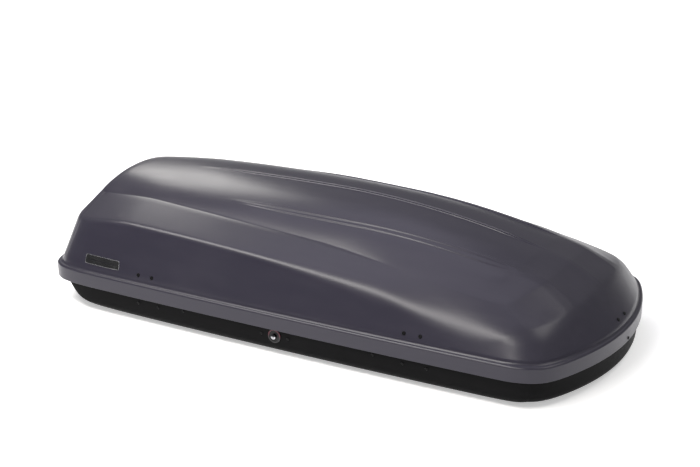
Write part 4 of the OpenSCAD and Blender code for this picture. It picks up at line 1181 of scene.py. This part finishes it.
@dataclass
class NamePlate:
    """Blank plate with rounded corners and a thin bright edge, laid on the lid's near wall."""

    form: BoxForm
    wall: bpy.types.Object
    part: float = -0.737
    rise: float = 36.0
    size: tuple[float, float] = (130.0, 27.0)
    corner: float = 5.0
    edge: float = 1.4
    thick: float = 1.6
    sink: float = 0.3

    def _ring(self, shrink: float, height: float) -> np.ndarray:
        """Rounded rectangle laid on the wall.

        Args:
            shrink: How far the rectangle lies inside the plate's outline.
            height: Height above the wall.

        Returns:
            Points with shape (n, 3).
        """
        half = np.array(self.size) / 2 - shrink
        radius = max(self.corner - shrink, 0.5)
        arcs = []
        for index, (sx, sy) in enumerate(((1, 1), (-1, 1), (-1, -1), (1, -1))):
            angle = index * math.pi / 2 + np.linspace(0, math.pi / 2, 7)
            arcs.append(np.stack([sx * (half[0] - radius) + radius * np.cos(angle),
                                  sy * (half[1] - radius) + radius * np.sin(angle)], -1))
        flat = []
        for arc, following, steps in zip(arcs, arcs[1:] + arcs[:1], (12, 2, 12, 2)):
            flat += [arc, np.linspace(arc[-1], following[0], steps + 2)[1:-1]]
        return np.array([self._on_wall(along, up, height) for along, up in np.concatenate(flat)])

    def _on_wall(self, along: float, up: float, height: float) -> Vector:
        """Point above the lid's wall at a place on the plate.

        Args:
            along: Distance along the plate from its middle.
            up: Distance up the plate from its middle.
            height: Height above the wall.

        Returns:
            The point in millimetres.
        """
        start = Vector((self.part * self.form.half_l + along, -2 * self.form.half_w,
                        self.form.ledge + self.rise + up)) * MM
        _, place, out, _ = self.wall.ray_cast(start, Vector((0, 1, 0)))
        return place / MM + out * height

    def build(self) -> list[bpy.types.Object]:
        """Builds and dresses the plate and its edge.

        Returns:
            The two pieces, riding on the lid.
        """
        top, inner = self.thick, self.size[1] / 2 - 0.6
        face_bag, edge_bag = MeshBag(), MeshBag()
        face_bag.band([self._ring(self.edge, -self.sink)]
                      + [self._ring(shrink, top - 0.4) for shrink in np.linspace(self.edge, inner, 6)])
        edge_bag.band([self._ring(shrink, height) for shrink, height in (
            (0, -self.sink), (0, top - 0.4), (0.3, top), (self.edge - 0.3, top), (self.edge, top - 0.4),
            (self.edge, -self.sink))])
        face, edge = face_bag.piece("plate_face"), edge_bag.piece("plate_edge")
        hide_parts("name_plate")
        dress(face, Finishes.PLATE)
        dress(edge, Finishes.PLATE_EDGE)
        for each in (face, edge):
            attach(each, "lid")
        return [face, edge]


class Fittings:
    """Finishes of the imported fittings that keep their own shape."""

    BY_SLOT = {
        "black_rivets": Finishes.RIVET,
        "black_plastic": Finishes.BLACK,
        "red_plastic": Finishes.RED,
        "lock_chrome": Finishes.CHROME,
        "brass": Finishes.BRASS,
        "strut_paint": Finishes.STRUT,
        "bright_steel": Finishes.BRIGHT,
        "plated_steel": Finishes.ZINC,
    }

    def build(self) -> int:
        """Dresses each fitting by its slot in the record.

        Returns:
            How many fittings were dressed.
        """
        done = 0
        for row in frame["record"]["subparts"]:
            finish = self.BY_SLOT.get(row["material_slot"])
            if finish is None:
                continue
            piece = frame["nodes"][row["node"]]
            dress(piece, finish)
            done += 1
        return done


@dataclass(frozen=True)
class Softbox:
    """Soft rectangular light: its place, aim and size in metres, its watts and its tint."""

    name: str
    place: Sequence[float]
    aim: Sequence[float]
    size: tuple[float, float]
    watts: float
    colour: Colour

    def build(self) -> None:
        """Adds the light to the scene."""
        data = bpy.data.lights.new(self.name, "AREA")
        data.shape = "RECTANGLE"
        data.size, data.size_y = self.size
        data.energy = self.watts
        data.color = self.colour
        made = stand(self.name, data)
        made.location = self.place
        made.rotation_euler = (Vector(self.aim) - Vector(self.place)).to_track_quat("-Z", "Y").to_euler()


@dataclass
class Studio:
    """Pale floor, soft lights and the camera."""

    LIGHTS = (
        Softbox("front_softbox", (-0.8, -1.45, 2.35), (-0.1, -0.2, 0.3), (3.6, 0.7), 90.0, (1.0, 0.97, 0.94)),
        Softbox("tail_softbox", (-2.0, 1.45, 1.75), (-0.4, -0.1, 0.37), (0.8, 1.2), 15.0, (1.0, 0.98, 0.94)),
        Softbox("nose_softbox", (1.8, 0.35, 2.4), (0.65, -0.25, 0.25), (1.0, 1.2), 11.0, (1.0, 0.98, 0.95)),
        Softbox("overhead", (-0.7, 0.4, 3.2), (0, 0, 0.2), (3.0, 2.2), 24.0, (0.86, 0.83, 1.0)),
    )

    azimuth: float = 28.89
    elevation: float = 20.0
    distance: float = 4636.9
    target: tuple[float, float, float] = (-65.0, 106.0, 200.0)
    focal_px: float = 1500.0
    image_px: float = 700.0
    sensor: float = 36.0
    sky_top: float = 0.6
    sky_light: tuple[float, float] = (0.12, 0.46)
    floor_reach: float = 30.0
    floor_shade: float = 0.93
    floor_glow: float = 0.66
    glow_near: float = 0.667
    glow_span: tuple[float, float] = (1.8, 4.0)

    def camera(self) -> None:
        """Camera at the photograph's viewing angle."""
        data = bpy.data.cameras.new("camera")
        data.sensor_width = self.sensor
        data.lens = self.focal_px * self.sensor / self.image_px
        data.clip_end = 100.0
        made = stand("camera", data)
        turn, lift = math.radians(self.azimuth), math.radians(self.elevation)
        back = Vector((math.sin(turn) * math.cos(lift), -math.cos(turn) * math.cos(lift), math.sin(lift)))
        made.location = (Vector(self.target) + back * self.distance) * MM
        made.rotation_euler = (-back).to_track_quat("-Z", "Y").to_euler()
        bpy.context.scene.camera = made

    def floor(self) -> None:
        """Wide pale floor under the box."""
        mesh = bpy.data.meshes.new("floor")
        reach = self.floor_reach
        mesh.from_pydata([(-reach, -reach, 0), (reach, -reach, 0), (reach, reach, 0), (-reach, reach, 0)],
                         [], [(0, 1, 2, 3)])
        made = stand("floor", mesh)
        paint = bpy.data.materials.new("floor_paint")
        paint.use_nodes = True
        shader = paint.node_tree.nodes["Principled BSDF"]
        shader.inputs["Base Color"].default_value = opaque((self.floor_shade,) * 3)
        shader.inputs["Roughness"].default_value = 0.9
        shader.inputs["Emission Strength"].default_value = self.floor_glow
        desk = NodeDesk(paint.node_tree)
        away = desk.add("ShaderNodeVectorMath", Vector=desk.add("ShaderNodeTexCoord").outputs["Object"])
        away.operation = "LENGTH"
        glow = desk.ramp(away.outputs["Value"], *self.glow_span, 0.0, 1.0)
        shades = [opaque((shade,) * 3) for shade in (self.glow_near, 1.0)]
        desk.put(shader.inputs["Emission Color"], desk.mix(glow, *shades))
        mesh.materials.append(paint)

    def build(self) -> None:
        """Sets up the floor, the lights, the surroundings and the camera."""
        self.camera()
        self.floor()
        for light in self.LIGHTS:
            light.build()
        world = bpy.data.worlds.new("studio")
        world.use_nodes = True
        desk, sky = NodeDesk(world.node_tree), world.node_tree.nodes["Background"].inputs
        place = desk.add("ShaderNodeTexCoord").outputs["Generated"]
        height = desk.add("ShaderNodeSeparateXYZ", Vector=place).outputs["Z"]
        desk.put(sky["Strength"], desk.ramp(height, 0.0, self.sky_top, *self.sky_light))
        desk.put(sky["Color"], opaque((1.0,) * 3))
        bpy.context.scene.world = world
        bpy.context.scene.view_settings.view_transform = "Standard"


def clamp_slots(margin: float) -> list[tuple[Vector, Vector]]:
    """Floor openings under the clamp plates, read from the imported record.

    Args:
        margin: Room round the slot in millimetres.

    Returns:
        Lowest and highest corners of each opening in millimetres.
    """
    mount = next(each for each in frame["record"]["mounts"] if each["name"] == "clamp_slots")
    sizes = mount["dims"]
    middle = Vector(mount["pos_m"]) / MM
    half = Vector((sizes["slot_length_mm"] / 2 + margin, sizes["hole_r_mm"] + margin, 20.0))
    made = []
    for i in (-1, 1):
        for j in (-1, 1):
            at = middle + Vector((i * sizes["spacing_x_mm"] / 2, j * sizes["spacing_y_mm"] / 2, 0))
            made.append((at - half, at + half))
    return made


def main() -> None:
    """Builds every sub-assembly in order and reports each piece."""
    logging.basicConfig(level=logging.INFO)
    form = BoxForm.from_frame()
    lines = RingLines(form)
    lid = LidSkin(form, lines).build()
    LOG.info("built %s", lid.name)
    tray = TraySkin(form, lines)
    tray.slots = clamp_slots(tray.slot_margin)
    for piece in tray.build():
        LOG.info("built %s", piece.name)
    for piece in NamePlate(form, lid).build():
        LOG.info("built %s", piece.name)
    LOG.info("dressed %d fittings", Fittings().build())
    Studio().build()


if __name__ == "__main__":
    main()
